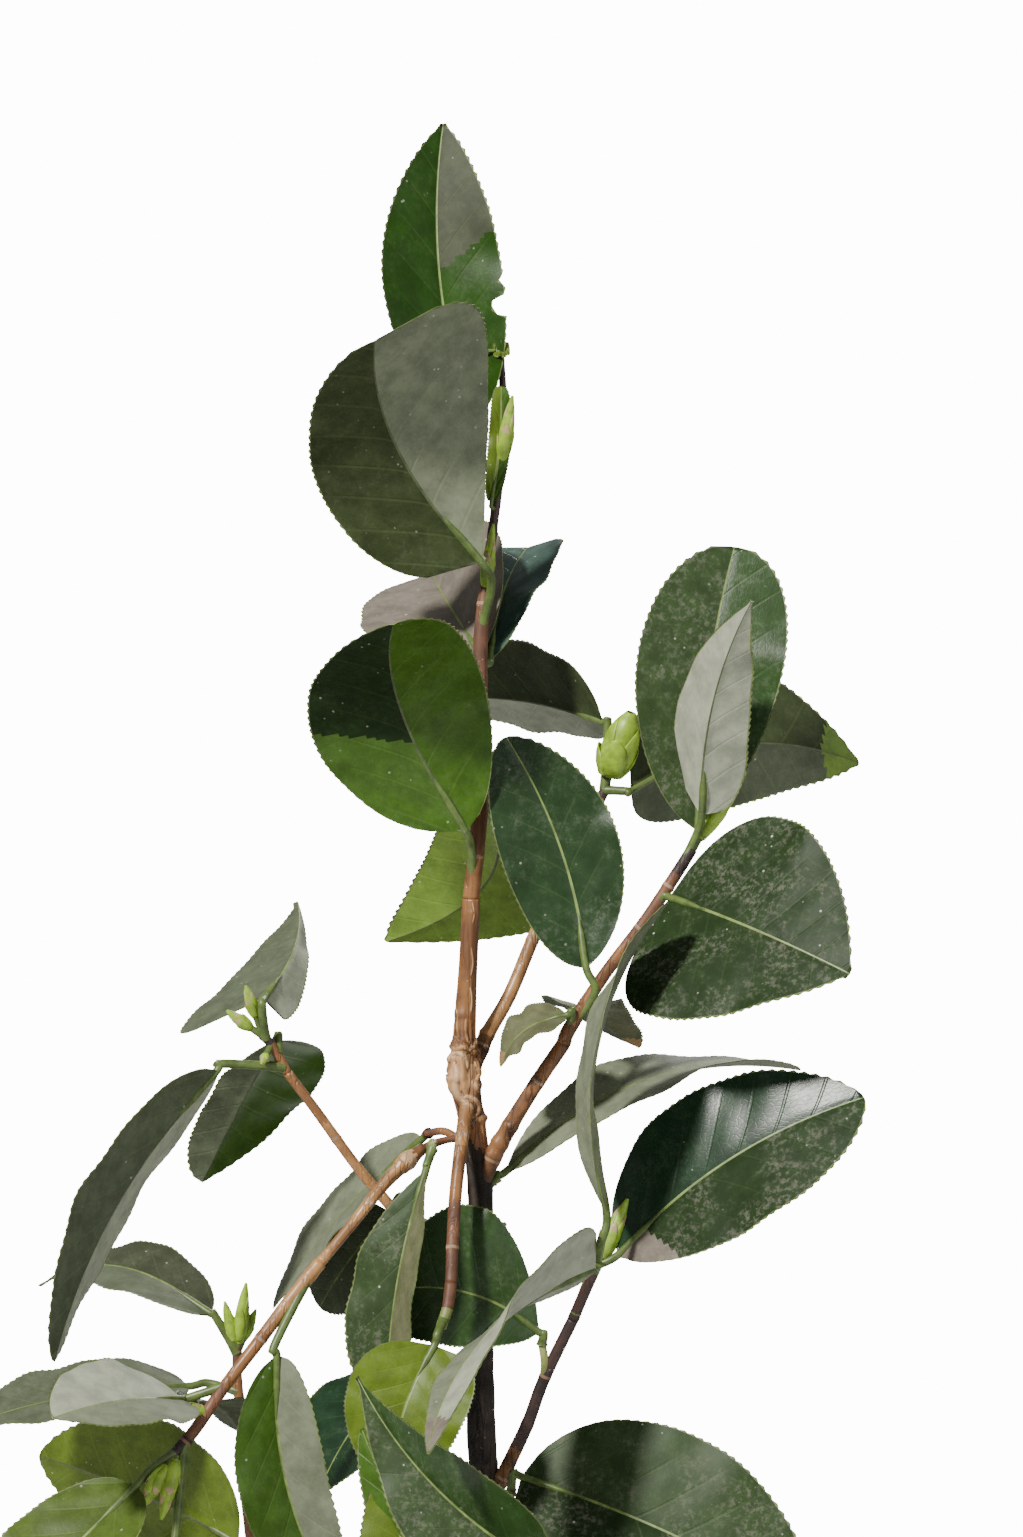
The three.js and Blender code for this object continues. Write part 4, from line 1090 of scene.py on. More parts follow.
def ripples(rows, sides, seed, grain):
    """Seeded relief over a tube, about -1 to 1, that runs along the grain."""
    dice = Dice(seed)
    height = np.zeros((len(rows), sides))
    turn = np.arange(sides)[None, :] * 2 * math.pi / sides
    for _ in range(RIPPLES):
        waves = 1 + int(RIPPLE_TURNS * dice.draw())
        pitch = grain * (RIPPLE_PITCHES[0] + RIPPLE_PITCHES[1] * dice.draw())
        shift, start = 2 * math.pi * dice.draw(), 2 * math.pi * dice.draw()
        slant = 2 * dice.draw() - 1
        along = rows[:, None] / pitch
        height += np.sin(waves * turn + shift + slant * np.sin(along)) * np.sin(2 * along + start)
    return height / RIPPLE_SCALE


def wood_slots(stretches, shares, slot_of):
    starts = np.array([start for start, _ in stretches])
    own = np.array([slot_of[name] for _, name in stretches])
    return own[np.maximum(np.searchsorted(starts, shares, side="right") - 1, 0)]


def bump_height(name, run, turn, radius, length_of):
    """Height of a limb's bumps at lengths along it and turns round it, in mm."""
    height = 0 * run * turn
    for share, heading, long, wide, high in LIMB_BUMPS.get(name, []):
        away = (turn + heading + 180) % 360 - 180
        arc = np.radians(away) * radius
        height = height + high * np.exp(-(((run - length_of(share)) / long) ** 2) - (arc / wide) ** 2)
    return height


def add_ridge(parts, line, length_of, pixels, half_width, slot):
    """A rounded ridge that passes pixels of the photograph on the trunk's front, thin at both ends."""
    path = Line([photo_place(pixel) for pixel in pixels]).at(np.linspace(0, 1, RIDGE_ROWS))
    shares = np.linspace(0, 1, RIDGE_STEPS)
    share = np.interp(path[:, 2], line.at(shares)[:, 2], shares)
    middle = line.at(share)
    radius = line.radius(share)
    reach = radius
    for _ in range(RIDGE_PASSES):
        beside = np.clip((middle[:, 0] - path[:, 0]) / reach, -RIDGE_EDGE, RIDGE_EDGE)
        turn = -np.degrees(np.arccos(beside))
        reach = radius + bump_height("trunk", length_of(share), turn, radius, length_of)
    reach = reach - RIDGE_SUNK * half_width
    heading = np.radians(turn)
    on = middle + np.stack([-np.cos(heading), np.sin(heading), 0 * turn], axis=1) * reach[:, None]
    on[:, 2] = path[:, 2]
    along = np.linspace(0, 1, RIDGE_ROWS)
    thick = half_width * np.sqrt(np.clip(1 - (2 * along - 1) ** RIDGE_BLUNTNESS, RIDGE_LEAST, 1))
    grid = tube_grid(Line(on), along, RIDGE_SIDES, thick)
    parts.add_grid(grid, slot, closed=True)
    add_cap(parts, grid[0, ::-1], slot)
    add_cap(parts, grid[-1], slot)


def add_limb(parts, name, places, stretches, sides, seed, sizes, slot_of):
    line = Line(places)
    row, sides = FINE_LIMBS.get(name, (LIMB_ROW, sides))
    shares = line.even_shares(row)
    length = line.length()
    run = np.linspace(0, length, len(shares))
    radius = line.radius(shares)
    old = np.clip((radius - OLD_FROM) / OLD_OVER, OLD_LEAST, 1)[:, None]
    rough = ripples(run, sides, seed, BARK_GRAIN)
    cracks = -np.clip(np.abs(rough) * -CRACK_STEEPNESS + 1, 0, 1)
    relief = sizes.bark_relief * old * (ROUGH_SHARE * rough + CRACK_SHARE * cracks)
    turn = np.degrees(np.arange(sides) * 2 * math.pi / sides)[None, :]
    # the trunk's changes of finish lean, so its painted shade reaches higher on the left side
    lean = TRUNK_LEAN * np.cos(np.radians(turn)) if name == "trunk" else 0
    slots = wood_slots(stretches, shares[:, None] + SLOT_WANDER * rough - lean, slot_of)
    dice = Dice(seed + RING_SEED_STEP)
    place = RING_GAP[0] * dice.draw()
    while place < length:
        ring = np.exp(-(((run - place) / RING_WIDTH) ** 2))
        relief = relief + RING_HEIGHT * ring[:, None] * (1 - RING_ROUGHNESS + RING_ROUGHNESS * rough)
        if name != "trunk":
            slots[(ring > RING_SCAR_FROM) & (radius < RING_LIMIT)] = slot_of["ring_scar"]
        place += RING_GAP[0] + (RING_GAP[1] - RING_GAP[0]) * dice.draw()

    def length_of(share):
        return np.interp(share, shares, run)

    relief = relief + bump_height(name, run[:, None], turn, radius[:, None], length_of)
    grid = tube_grid(line, shares, sides, radius, relief)
    if name == "trunk":
        grid[0, :, 2] = 0
        grid[:, :, 2] = np.maximum(grid[:, :, 2], 0)
    parts.add_grid(grid, slots[:-1], closed=True)
    add_cap(parts, grid[0, ::-1], slots[0, 0])
    add_cap(parts, grid[-1], slots[-1, 0])
    if name == "trunk":
        for wood, half_width, pixels in KNOT_RIDGES.values():
            add_ridge(parts, line, length_of, pixels, half_width, slot_of[wood])


# Buds: a plump one's shape and from which radius in millimetres it is used, how many scales and
# how finely each is meshed, the stalk and the core (rows, sides), where scales start and end from
# the outer to the inner ones, their spread, point and relief, the masses with fresh buds, and the
# direction that a bud's turn is measured from
PLUMP_PROFILE = (0.62, 0.9, 1, 1, 0.97, 0.88, 0.7, 0.3)
PLUMP_FROM = 5
BUD_SCALES = 7
BUD_ROWS = 14
BUD_COLUMNS = 10
BUD_TIP_ROWS = 3
BUD_SEED = 7
SCALE_THICKNESS = 0.4
SCALE_TAPER = 0.6
BUD_STALK_RADIUS = 1.1
BUD_STALK_SINKS = 0.3
BUD_STALK_SIZES = (12, 12)
BUD_CORE_SIZES = (20, 14)
BUD_CORE_SHARE = 0.86
SCALE_START = 0.1
SCALE_ENDS = (0.42, 0.98)
SCALE_TURN_VARIES = 0.5
SCALE_SPREAD = 1.25
SCALE_NARROWS = 0.35
SCALE_POINT = (2.4, 0.7)
SCALE_STANDS_OUT = 1.04
SCALE_TUCKS_IN = 0.13
SCALE_TIP_LIFTS = 0.10
SCALE_EDGE_DROPS = 0.05
FRESH_BUDS = ("right_inner_foliage", "second_stem_foliage")
BUD_SIDE_FROM = (0.0, 1.0, 0.3)


def bud_profile(shape, shares):
    """Radius of a bud at shares of its length, as a share of its widest."""
    return np.interp(shares * (len(shape) - 1), range(len(shape)), shape)


def add_bud(parts, root, bud, seed, fresh, slot_of):
    """A bud of overlapping scales on a short stalk: pointed, or plump where it is a fat one."""
    scale, tip_slot = ("fresh_scale", "fresh_scale") if fresh else ("bud_scale", "bud_tip")
    shape = PLUMP_PROFILE if bud["radius"] > PLUMP_FROM else BUD_PROFILE
    tip = np.array(bud["tip"], dtype=float)
    axis = unit(tip - root)
    whole = np.linalg.norm(tip - root)
    foot = tip - axis * min(bud["length"], whole)
    stalk = Line([root, 0.5 * (root + foot), foot + BUD_STALK_SINKS * (tip - foot)])
    rows, sides = BUD_STALK_SIZES
    tube = tube_grid(stalk, np.linspace(0, 1, rows), sides, np.full(rows, BUD_STALK_RADIUS))
    parts.add_grid(tube, slot_of["bud_stalk"], closed=True)
    core = Line([foot, 0.5 * (foot + tip), tip])
    rows, sides = BUD_CORE_SIZES
    shares = np.linspace(0, 1, rows)
    radius = BUD_CORE_SHARE * bud["radius"] * bud_profile(shape, shares)
    parts.add_grid(tube_grid(core, shares, sides, radius), slot_of[scale], closed=True)
    side = unit(np.cross(axis, BUD_SIDE_FROM))
    up = np.cross(side, axis)
    dice = Dice(seed)
    for k in range(BUD_SCALES):
        share = k / (BUD_SCALES - 1)
        start, end = SCALE_START * share, between(SCALE_ENDS, share)
        heading = k * TURN + SCALE_TURN_VARIES * dice.draw()
        rows = np.linspace(0, 1, BUD_ROWS)[:, None]
        columns = np.linspace(-1, 1, BUD_COLUMNS)[None, :]
        height = start + (end - start) * rows
        point = (1 - rows ** SCALE_POINT[0]) ** SCALE_POINT[1]
        spread = (SCALE_SPREAD - SCALE_NARROWS * share) * point
        turn = heading + columns * spread
        proud = SCALE_STANDS_OUT - SCALE_TUCKS_IN * share + SCALE_TIP_LIFTS * rows**2 * (1 - share)
        radius = bud["radius"] * bud_profile(shape, height) * (proud - SCALE_EDGE_DROPS * columns**2)
        out = side * np.cos(turn)[..., None] + up * np.sin(turn)[..., None]
        spine = foot + axis * (height * bud["length"] * np.ones_like(turn))[..., None]
        outer = spine + out * radius[..., None]
        inner = spine + out * (radius - SCALE_THICKNESS * (1 - SCALE_TAPER * rows))[..., None]
        slots = np.full((BUD_ROWS - 1, BUD_COLUMNS - 1), slot_of[scale])
        slots[-BUD_TIP_ROWS:] = slot_of[tip_slot]
        parts.add_grid(outer, slots)
        parts.add_grid(inner, slots, flip=True)
        parts.add_grid(np.stack([inner[:, 0], outer[:, 0]], axis=1), slots[:, :1])
        parts.add_grid(np.stack([inner[:, -1], outer[:, -1]], axis=1), slots[:, :1], flip=True)
        parts.add_grid(np.stack([inner[0], outer[0]]), slot_of[scale])


class Nodes:
    """Small help for laying out a node tree."""

    def __init__(self, tree):
        self.tree = tree

    def add(self, kind, **settings):
        node = self.tree.nodes.new(kind)
        for key, value in settings.items():
            setattr(node, key, value)
        return node

    def link(self, out, into):
        self.tree.links.new(out, into)

    def feed(self, socket, value):
        """Sets a socket to a number or a colour, or links another socket to it."""
        if isinstance(value, (int, float)):
            socket.default_value = value
        elif isinstance(value, (tuple, list)):
            socket.default_value = (*value, 1)
        else:
            self.link(value, socket)

    def math(self, operation, *values):
        node = self.add("ShaderNodeMath", operation=operation)
        for socket, value in zip(node.inputs, values):
            self.feed(socket, value)
        return node.outputs[0]

    def inverse(self, value):
        return self.math("SUBTRACT", 1.0, value)

    def times(self, first, second):
        return self.math("MULTIPLY", first, second)

    def mix(self, share, first, second):
        node = self.add("ShaderNodeMix", data_type="RGBA")
        for i, value in ((0, share), (6, first), (7, second)):
            self.feed(node.inputs[i], value)
        return node.outputs[2]

    def noise(self, vector, scale, detail=3.0, roughness=0.55):
        node = self.add("ShaderNodeTexNoise")
        node.inputs["Scale"].default_value = scale
        node.inputs["Detail"].default_value = detail
        node.inputs["Roughness"].default_value = roughness
        self.link(vector, node.inputs["Vector"])
        return node.outputs["Fac"]

    def cells(self, vector, scale, feature="F1"):
        """Distance to the nearest point, or to the nearest edge, of a pattern of cells."""
        node = self.add("ShaderNodeTexVoronoi", feature=feature)
        node.inputs["Scale"].default_value = scale
        self.link(vector, node.inputs["Vector"])
        return node.outputs["Distance"]

    def ramp(self, value, low, high):
        """0 below low, 1 above high, smooth between."""
        node = self.add("ShaderNodeMapRange", interpolation_type="SMOOTHSTEP")
        node.inputs["From Min"].default_value = low
        node.inputs["From Max"].default_value = high
        self.link(value, node.inputs["Value"])
        return node.outputs["Result"]

    def patches(self, vector, settings, fade):
        """Soft patches: noise that fades in between two values."""
        return self.ramp(self.noise(vector, *settings), *fade)

    def spots(self, vector, scale, fade, feature="F1"):
        """Small spots, or the lines between cells, that fade out over a distance."""
        return self.inverse(self.ramp(self.cells(vector, scale, feature), *fade))

    def bump(self, shader, height, strength, distance):
        """Gives a shader a bump; distance is in millimetres."""
        node = self.add("ShaderNodeBump")
        node.inputs["Strength"].default_value = strength
        node.inputs["Distance"].default_value = distance * MM
        self.link(height, node.inputs["Height"])
        self.link(node.outputs["Normal"], shader.inputs["Normal"])


# The finishes' patterns. Noise has its scale, detail and roughness and the values between which it
# fades in. Cells have their scale and the distances between which a spot or a line fades out.
LINES = "DISTANCE_TO_EDGE"
VEIN_LINE = (0.015, 0.06)
VEIN_FADE = (0.35, 0.95)
VEIN_NET = (38.0, (0.0, 0.12))
DUST_PATCHES = ((70.0, 4.0, 0.6), (0.36, 0.62))
DUST_GRAIN = ((520.0, 6.0, 0.75), (0.47, 0.62))
SPECKS = (300.0, (0.06, 0.16))
SPECKS_KEPT = ((150.0, 2.0), (0.54, 0.62))
MOTTLE = ((140.0, 7.0, 0.66), (0.3, 0.7))
WOOD_PATCHES = ((90.0, 4.0), (0.35, 0.65))
CRACKS = (520.0, (0.0, 0.14))
CRACKS_KEPT = ((160.0, 3.0), (0.45, 0.62))
FLECKS = (620.0, (0.12, 0.26))
FLECKS_KEPT = ((210.0, 2.0), (0.56, 0.66))
WANDER_DETAIL = 4.0
WANDER_FADE = (0.3, 0.7)
GRAIN_STRETCH = (1.0, 1.0, 0.14)

# Leaf finish: how far the tone spreads, how light and strong the net of fine veins is, what a vein
# takes of the leaf's and the veins' colour, how strongly dust and specks show, how much dust
# roughens the leaf, and how high the net stands
TONE_SPREAD = (0.78, 1.22)
NET_LIGHT = 2.2
NET_SHARE = 0.18
VEIN_MIX = (1.1, 0.18)
FILM_SHARE = 0.55
SPECKS_LEAST = 0.25
FILM_ROUGHENS = 0.3
NET_HEIGHT = -0.12

# Wood finish: how dark cracks are, how far a patch roughens it and from how far below its own
# roughness, and how high a fleck stands
CRACK_DARK = 0.35
PATCH_ROUGHENS = 0.14
ROUGH_BELOW = 0.05
FLECK_HEIGHT = 0.5

# Bumps: strength and height in millimetres
LEAF_BUMP = (0.35, 0.2)
PART_BUMP = (0.4, 0.1)
WOOD_BUMP = (0.7, 0.35)


def new_group(name, outputs):
    group = bpy.data.node_groups.new(name, "ShaderNodeTree")
    for socket in outputs:
        group.interface.new_socket(socket, in_out="OUTPUT", socket_type="NodeSocketFloat")
    nodes = Nodes(group)
    return group, nodes, nodes.add("NodeGroupOutput")


def vein_group():
    """A leaf's veins from the place on the leaf: Vein is the side veins, Net the fine ones."""
    group, nodes, out = new_group("leaf veins", ("Vein", "Net"))
    place = nodes.add("ShaderNodeUVMap", uv_map="leaf_place").outputs["UV"]
    split = nodes.add("ShaderNodeSeparateXYZ")
    nodes.link(place, split.inputs["Vector"])
    across = nodes.math("ABSOLUTE", nodes.math("MULTIPLY_ADD", split.outputs["Y"], 2.0, -1.0))
    sweep = nodes.times(nodes.math("POWER", across, VEIN_CURVE), VEIN_SWEEP)
    phase = nodes.times(nodes.math("SUBTRACT", split.outputs["X"], sweep), float(VEIN_PAIRS))
    away = nodes.math("PINGPONG", nodes.math("ADD", phase, VEIN_START), 0.5)
    line = nodes.inverse(nodes.ramp(away, *VEIN_LINE))
    fade = nodes.inverse(nodes.ramp(across, *VEIN_FADE))
    nodes.link(nodes.times(line, fade), out.inputs["Vein"])
    nodes.link(nodes.spots(place, *VEIN_NET, LINES), out.inputs["Net"])
    return group


def dust_group():
    """Dust on a leaf: Film is the soft patches, Specks the small pale spots, Mottle the change of tone."""
    group, nodes, out = new_group("leaf dust", ("Film", "Specks", "Mottle"))
    place = nodes.add("ShaderNodeTexCoord").outputs["Object"]
    film = nodes.times(nodes.patches(place, *DUST_PATCHES), nodes.patches(place, *DUST_GRAIN))
    specks = nodes.times(nodes.spots(place, *SPECKS), nodes.patches(place, *SPECKS_KEPT))
    nodes.link(film, out.inputs["Film"])
    nodes.link(specks, out.inputs["Specks"])
    nodes.link(nodes.patches(place, *MOTTLE), out.inputs["Mottle"])
    return group


def grain_group():
    """Wood: Patch is the broad change of tone, Crack the fine dark cracks, Fleck the pale spots."""
    group, nodes, out = new_group("bark grain", ("Patch", "Crack", "Fleck"))
    place = nodes.add("ShaderNodeTexCoord").outputs["Object"]
    stretch = nodes.add("ShaderNodeMapping")
    stretch.inputs["Scale"].default_value = GRAIN_STRETCH
    nodes.link(place, stretch.inputs["Vector"])
    long_way = stretch.outputs["Vector"]
    crack = nodes.times(nodes.spots(long_way, *CRACKS, LINES), nodes.patches(long_way, *CRACKS_KEPT))
    fleck = nodes.times(nodes.spots(place, *FLECKS), nodes.patches(place, *FLECKS_KEPT))
    nodes.link(nodes.patches(place, *WOOD_PATCHES), out.inputs["Patch"])
    nodes.link(crack, out.inputs["Crack"])
    nodes.link(fleck, out.inputs["Fleck"])
    return group


def new_material(name):
    material = bpy.data.materials.new(name)
    material.use_nodes = True
    nodes = Nodes(material.node_tree)
    shader = material.node_tree.nodes["Principled BSDF"]
    return material, nodes, shader


def use_group(nodes, name):
    node = nodes.add("ShaderNodeGroup")
    node.node_tree = bpy.data.node_groups[name]
    return node.outputs


def shaded(colour, factor):
    return tuple(min(1.0, channel * factor) for channel in colour)


def leaf_material(name, colour, roughness, gloss, dust, veins, colours):
    material, nodes, shader = new_material("leaf " + name)
    vein = use_group(nodes, "leaf veins")
    film = use_group(nodes, "leaf dust")
    body = nodes.mix(film["Mottle"], *(shaded(colour, factor) for factor in TONE_SPREAD))
    net = nodes.mix(nodes.times(vein["Net"], NET_SHARE * veins), body, shaded(colour, NET_LIGHT))
    vein_colour = tuple(VEIN_MIX[0] * c + VEIN_MIX[1] * v for c, v in zip(colour, colours.vein))
    veined = nodes.mix(nodes.times(vein["Vein"], veins), net, vein_colour)
    dusty = nodes.mix(nodes.times(film["Film"], FILM_SHARE * dust), veined, tuple(colours.dust))
    specks = nodes.times(film["Specks"], min(1.0, SPECKS_LEAST + dust))
    nodes.link(nodes.mix(specks, dusty, tuple(colours.speck)), shader.inputs["Base Color"])
    shader.inputs["Specular IOR Level"].default_value = gloss
    rough = nodes.math("MULTIPLY_ADD", film["Film"], FILM_ROUGHENS * dust, roughness)
    nodes.link(rough, shader.inputs["Roughness"])
    height = nodes.math("MULTIPLY_ADD", vein["Net"], NET_HEIGHT, nodes.times(vein["Vein"], -1.0))
    nodes.bump(shader, height, *LEAF_BUMP)
    return material


def plain_part_material(name, colour, roughness, scale=260.0, spread=0.3):
    """A finish whose tone wanders a little: margins, midribs, stalks and bud scales."""
    material, nodes, shader = new_material(name)
    place = nodes.add("ShaderNodeTexCoord").outputs["Object"]
    wander = nodes.patches(place, (scale, WANDER_DETAIL), WANDER_FADE)
    tone = nodes.mix(wander, shaded(colour, 1 - spread), shaded(colour, 1 + spread))
    nodes.link(tone, shader.inputs["Base Color"])
    shader.inputs["Roughness"].default_value = roughness
    nodes.bump(shader, wander, *PART_BUMP)
    return material


def wood_material(name, light, dark, roughness, cracks, flecks, colours):
    material, nodes, shader = new_material(name.replace("_", " "))
    grain = use_group(nodes, "bark grain")
    tone = nodes.mix(grain["Patch"], light, dark)
    cracked = nodes.mix(nodes.times(grain["Crack"], cracks), tone, shaded(dark, CRACK_DARK))
    pale = nodes.mix(nodes.times(grain["Fleck"], flecks), cracked, tuple(colours.fleck))
    nodes.link(pale, shader.inputs["Base Color"])
    rough = nodes.math("MULTIPLY_ADD", grain["Patch"], PATCH_ROUGHENS, roughness - ROUGH_BELOW)
    nodes.link(rough, shader.inputs["Roughness"])
    height = nodes.math("SUBTRACT", nodes.times(grain["Fleck"], FLECK_HEIGHT), grain["Crack"])
    nodes.bump(shader, height, *WOOD_BUMP)
    return material


def fine_size(name, description, default, low, high):
    """A size in millimetres, within the limits that the mesh code can take."""
    return FloatProperty(
        name=name, description=description + " (mm)", default=default, min=low, max=high)


def colour_of(name, what, default):
    return FloatVectorProperty(
        name=name, description="Colour of " + what, subtype="COLOR", default=default, min=0, max=1)


class ShrubSizes(bpy.types.PropertyGroup):
    """Sizes of the fine detail, in millimetres."""

    leaf_thickness: fine_size("Leaf thickness", "Thickness of a blade at its middle", 0.55, 0.2, 1.1)
    tooth_depth: fine_size("Tooth depth", "How far the margin's teeth stand out", 0.5, 0, 1.5)
    vein_depth: fine_size("Vein depth", "How deep the side veins lie", 0.09, 0, 0.5)
    quilt_height: fine_size("Quilting", "How far the blade swells between veins", 0.15, 0, 1)
    wave_height: fine_size("Margin waves", "How far the margins rise and fall", 0.9, 0, 3)
    rib_height: fine_size("Midrib height", "How far the midrib stands out below", 0.9, 0, 2)
    bark_relief: fine_size("Bark relief", "Depth of the old bark's ridges", 0.38, 0, 1.5)


class ShrubColours(bpy.types.PropertyGroup):
    """Colours that several finishes share."""

    vein: colour_of("Vein", "veins", (0.16, 0.22, 0.08))
    rib: colour_of("Midrib", "midribs", (0.15, 0.21, 0.05))
    # the midribs below are dark grey-green, partly their own tone and partly painted shade of the leaves'
    # under faces
    under_rib: colour_of("Under midrib", "midribs below", (0.065, 0.085, 0.032))
    rim: colour_of("Margin", "leaf margins", (0.12, 0.155, 0.045))
    stalk: colour_of("Leaf stalk", "leaf stalks", (0.085, 0.13, 0.028))
    dust: colour_of("Dust", "dust on leaves", (0.26, 0.24, 0.205))
    speck: colour_of("Specks", "specks on leaves", (0.62, 0.62, 0.56))
    fleck: colour_of("Flecks", "flecks on twigs", (0.62, 0.50, 0.36))
    bud: colour_of("Bud", "bud scales", (0.25, 0.39, 0.035))
    fresh_bud: colour_of("Fresh bud", "a fresh bud's scales", (0.27, 0.43, 0.03))
    bud_tip: colour_of("Bud tip", "the scales' tips", (0.40, 0.30, 0.15))
    floor: colour_of("Floor", "the floor", (0.82, 0.82, 0.81))


class ShrubStage(bpy.types.PropertyGroup):
    """Camera and light."""

    lens: FloatProperty(
        name="Lens", description="Focal length of the camera (mm)", default=119.0, min=20, max=400)
    distance: FloatProperty(
        name="Distance", description="Camera to trunk", default=1.6, unit="LENGTH", min=0.5, max=10)
    height: FloatProperty(
        name="Height", description="Height of the camera", default=0.4571, unit="LENGTH", min=0, max=3)
    aside: FloatProperty(
        name="Aside", description="How far right of the trunk the camera is", default=0.0077, unit="LENGTH")
    key_power: FloatProperty(name="Key light", description="Power of the main light (W)", default=95.0, min=0)
    fill_power: FloatProperty(
        name="Fill light", description="Power of the soft fill (W)", default=12.0, min=0)
    sky: FloatProperty(name="Sky", description="Strength of the soft light all round", default=0.32, min=0)
    backdrop: FloatProperty(
        name="Backdrop", description="How bright the surroundings look to the camera", default=14.0, min=0)


def settle(piece, nodes):
    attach(piece, BODY)
    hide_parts(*nodes)


def slot_numbers(names):
    return {name: i for i, name in enumerate(names)}


def part_materials(parts, colours):
    """The finishes of a leaf's or a bud's parts, in the order of their slots."""
    return [
        plain_part_material(finish, tuple(getattr(colours, colour)), roughness)
        for finish, colour, roughness in parts.values()
    ]


class SHRUB_OT_finishes(bpy.types.Operator):
    """Lays out the node groups that the finishes share"""

    bl_idname = "shrub.finishes"
    bl_label = "Shared Finishes"

    def execute(self, context):
        groups = {"leaf veins": vein_group, "leaf dust": dust_group, "bark grain": grain_group}
        for name, make in groups.items():
            if name not in bpy.data.node_groups:
                make()
        return {"FINISHED"}


class SHRUB_OT_leaves(bpy.types.Operator):
    """Grows the leaves of every mass, joined into a few pieces"""

    bl_idname = "shrub.leaves"
    bl_label = "Leaves"

    def execute(self, context):
        sizes, colours = context.scene.shrub_sizes, context.scene.shrub_colours
        materials = [leaf_material(name, *SHADES[name], colours) for name in SHADES]
        materials += part_materials(LEAF_PARTS, colours)
        slot_of = slot_numbers((*SHADES, *LEAF_PARTS))
        plan = plan_leaves()
        for piece_name, masses in LEAF_PIECES.items():
            parts = MeshParts()
            for mass in masses:
                for leaf in plan[mass]:
                    add_leaf(parts, leaf, sizes, slot_of)
                    add_stalk(parts, leaf, sizes, slot_of)
            piece = parts.build(piece_name, materials)
            settle(piece, masses)
        return {"FINISHED"}


def make_woods(colours):
    """The wood finishes in the order of their slots, made once for both wood pieces."""
    found = {name: bpy.data.materials.get(name.replace("_", " ")) for name in WOODS}
    return [found[name] or wood_material(name, *WOODS[name], colours) for name in WOODS]


class SHRUB_OT_bark(bpy.types.Operator):
    """Builds the trunk and boughs with the relief of their bark"""

    bl_idname = "shrub.bark"
    bl_label = "Trunk and Boughs"

    def execute(self, context):
        sizes, colours = context.scene.shrub_sizes, context.scene.shrub_colours
        slot_of = slot_numbers(WOODS)
        parts = MeshParts()
        for i, (name, places) in enumerate(LIMBS.items()):
            stretches = LIMB_WOOD.get(name, OTHER_LIMB_WOOD)
            add_limb(parts, name, places, stretches, LIMB_SIDES, LIMB_SEED + i, sizes, slot_of)
        piece = parts.build("trunk_and_boughs", make_woods(colours))
        settle(piece, LIMBS)
        return {"FINISHED"}


class SHRUB_OT_twigs(bpy.types.Operator):
    """Builds the stems that carry the leaves"""

    bl_idname = "shrub.twigs"
    bl_label = "Twigs"

    def execute(self, context):
        sizes, colours = context.scene.shrub_sizes, context.scene.shrub_colours
        slot_of = slot_numbers(WOODS)
        parts = MeshParts()
        for i, (name, mass) in enumerate(MASSES.items()):
            stretches = STEM_WOOD.get(name, OTHER_STEM_WOOD)
            add_limb(parts, name, mass["stem"], stretches, TWIG_SIDES, TWIG_SEED + i, sizes, slot_of)
        piece = parts.build("twigs", make_woods(colours))
        settle(piece, MASSES)
        return {"FINISHED"}


class SHRUB_OT_buds(bpy.types.Operator):
    """Builds the buds at the shoot tips and in the leaf axils"""

    bl_idname = "shrub.buds"
    bl_label = "Buds"

    def execute(self, context):
        slot_of = slot_numbers(BUD_PARTS)
        parts = MeshParts()
        carriers = [name for name, mass in MASSES.items() if "buds" in mass]
        for name in carriers:
            stem = Line(MASSES[name]["stem"])
            for i, bud in enumerate(MASSES[name]["buds"]):
                root = stem.at(bud["at"])[0]
                add_bud(parts, root, bud, BUD_SEED + i, name in FRESH_BUDS, slot_of)
        piece = parts.build("buds", part_materials(BUD_PARTS, context.scene.shrub_colours))
        settle(piece, carriers)
        return {"FINISHED"}


# The stage: the floor's radius in metres, its mesh and how far in millimetres it lies below the
# ground, the place in metres that the lights aim at, the rim light's power as a share of the
# fill's, and the camera's sensor in millimetres
FLOOR_RADIUS = 0.75
FLOOR_RINGS = 40
FLOOR_SIDES = 128
FLOOR_BELOW = 0.5
LIGHTS_AIM = (0, 0, 0.4)
RIM_LIGHT_SHARE = 1.4
SENSOR_HEIGHT = 36.0

# Lights: place and width in metres, and colour
KEY_LIGHT = ((-1.1, -1.5, 1.75), 0.24, (1.0, 0.97, 0.92))
FILL_LIGHT = ((1.5, -1.3, 0.9), 1.6, (0.95, 0.98, 1.0))
RIM_LIGHT = ((0.5, 1.5, 1.4), 0.8, (1.0, 0.98, 0.94))


def area_light(name, place, size, colour, power):
    data = bpy.data.lights.new(name, "AREA")
    data.shape = "DISK"
    data.size = size
    data.energy = power
    data.color = colour
    light = bpy.data.objects.new(name, data)
    light.location = place
    light.rotation_euler = (Vector(LIGHTS_AIM) - Vector(place)).to_track_quat("-Z", "Y").to_euler()
    bpy.context.scene.collection.objects.link(light)
    return light


def floor_piece(colour):
    parts = MeshParts()
    radii = np.linspace(0, FLOOR_RADIUS / MM, FLOOR_RINGS)[:, None]
    turn = (np.arange(FLOOR_SIDES) * 2 * math.pi / FLOOR_SIDES)[None, :]
    grid = np.stack([radii * np.cos(turn), radii * np.sin(turn), 0 * radii * turn - FLOOR_BELOW], axis=-1)
    parts.add_grid(grid, 0, closed=True, flip=True)
    return parts.build("floor", [plain_part_material("floor", colour, 0.9, scale=3.0, spread=0.02)])


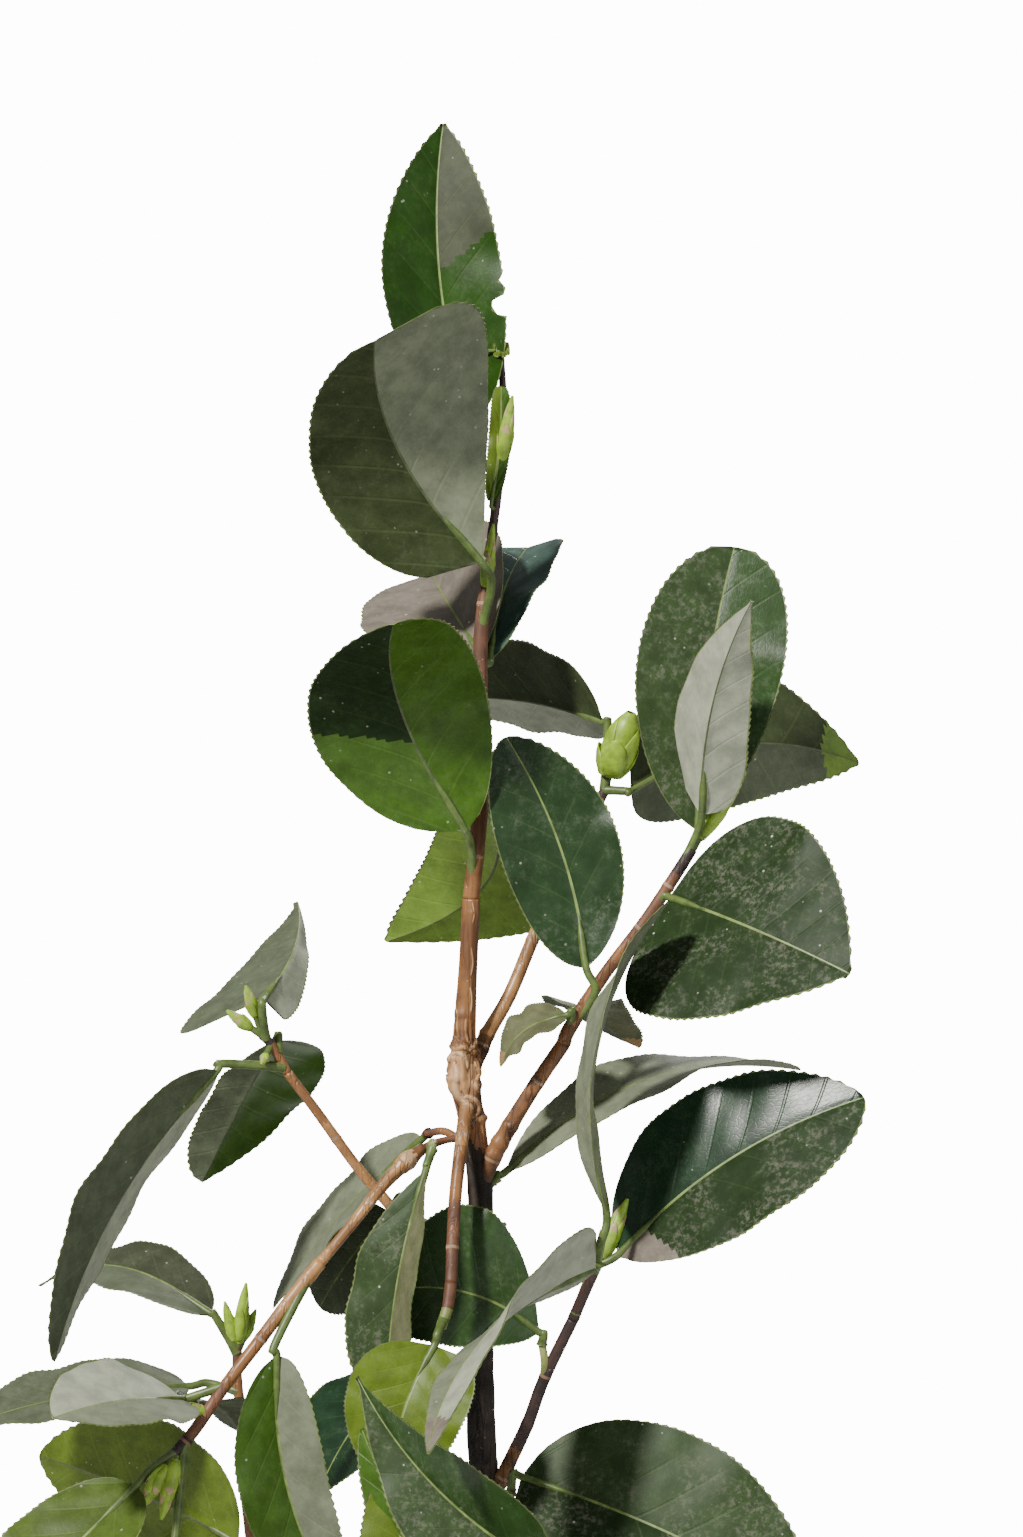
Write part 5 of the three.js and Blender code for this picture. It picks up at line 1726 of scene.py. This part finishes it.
class SHRUB_OT_stage(bpy.types.Operator):
    """Sets the floor, the soft light and the camera"""

    bl_idname = "shrub.stage"
    bl_label = "Stage"

    def execute(self, context):
        stage, colours = context.scene.shrub_stage, context.scene.shrub_colours
        floor = floor_piece(tuple(colours.floor))
        key = area_light("key", *KEY_LIGHT, stage.key_power)
        fill = area_light("fill", *FILL_LIGHT, stage.fill_power)
        rim = area_light("rim", *RIM_LIGHT, RIM_LIGHT_SHARE * stage.fill_power)
        world = context.scene.world or bpy.data.worlds.new("surroundings")
        context.scene.world = world
        world.use_nodes = True
        surroundings = world.node_tree.nodes["Background"]
        surroundings.inputs["Color"].default_value = (1.0, 1.0, 1.0, 1.0)
        nodes = Nodes(world.node_tree)
        path = nodes.add("ShaderNodeLightPath").outputs["Is Camera Ray"]
        seen = nodes.math("MULTIPLY_ADD", path, stage.backdrop - stage.sky, stage.sky)
        nodes.link(seen, surroundings.inputs["Strength"])
        data = bpy.data.cameras.new("photo_camera")
        data.lens = stage.lens
        data.sensor_fit = "VERTICAL"
        data.sensor_height = SENSOR_HEIGHT
        camera = bpy.data.objects.new("photo_camera", data)
        camera.location = (stage.aside, -stage.distance, stage.height)
        camera.rotation_euler = (math.radians(90), 0, 0)
        context.scene.collection.objects.link(camera)
        context.scene.camera = camera
        return {"FINISHED"}


class SHRUB_PT_panel(bpy.types.Panel):
    """Lists the shrub's pieces and sizes"""

    bl_label = "Camellia Shrub"
    bl_idname = "SHRUB_PT_panel"
    bl_space_type = "VIEW_3D"
    bl_region_type = "UI"
    bl_category = "Shrub"

    def draw(self, context):
        layout = self.layout
        for group in (context.scene.shrub_sizes, context.scene.shrub_colours, context.scene.shrub_stage):
            box = layout.box()
            for name in group.bl_rna.properties.keys():
                if name not in ("rna_type", "name"):
                    box.prop(group, name)
        for operator in OPERATORS:
            layout.operator(operator.bl_idname)


OPERATORS = (
    SHRUB_OT_finishes, SHRUB_OT_bark, SHRUB_OT_twigs, SHRUB_OT_leaves, SHRUB_OT_buds, SHRUB_OT_stage,
)
CLASSES = (ShrubSizes, ShrubColours, ShrubStage, *OPERATORS, SHRUB_PT_panel)


def register():
    for item in CLASSES:
        bpy.utils.register_class(item)
    bpy.types.Scene.shrub_sizes = PointerProperty(type=ShrubSizes)
    bpy.types.Scene.shrub_colours = PointerProperty(type=ShrubColours)
    bpy.types.Scene.shrub_stage = PointerProperty(type=ShrubStage)


def unregister():
    del bpy.types.Scene.shrub_stage
    del bpy.types.Scene.shrub_colours
    del bpy.types.Scene.shrub_sizes
    for item in reversed(CLASSES):
        bpy.utils.unregister_class(item)


def main():
    register()
    bpy.ops.shrub.finishes()
    bpy.ops.shrub.bark()
    bpy.ops.shrub.twigs()
    bpy.ops.shrub.leaves()
    bpy.ops.shrub.buds()
    bpy.ops.shrub.stage()


if __name__ == "__main__":
    main()
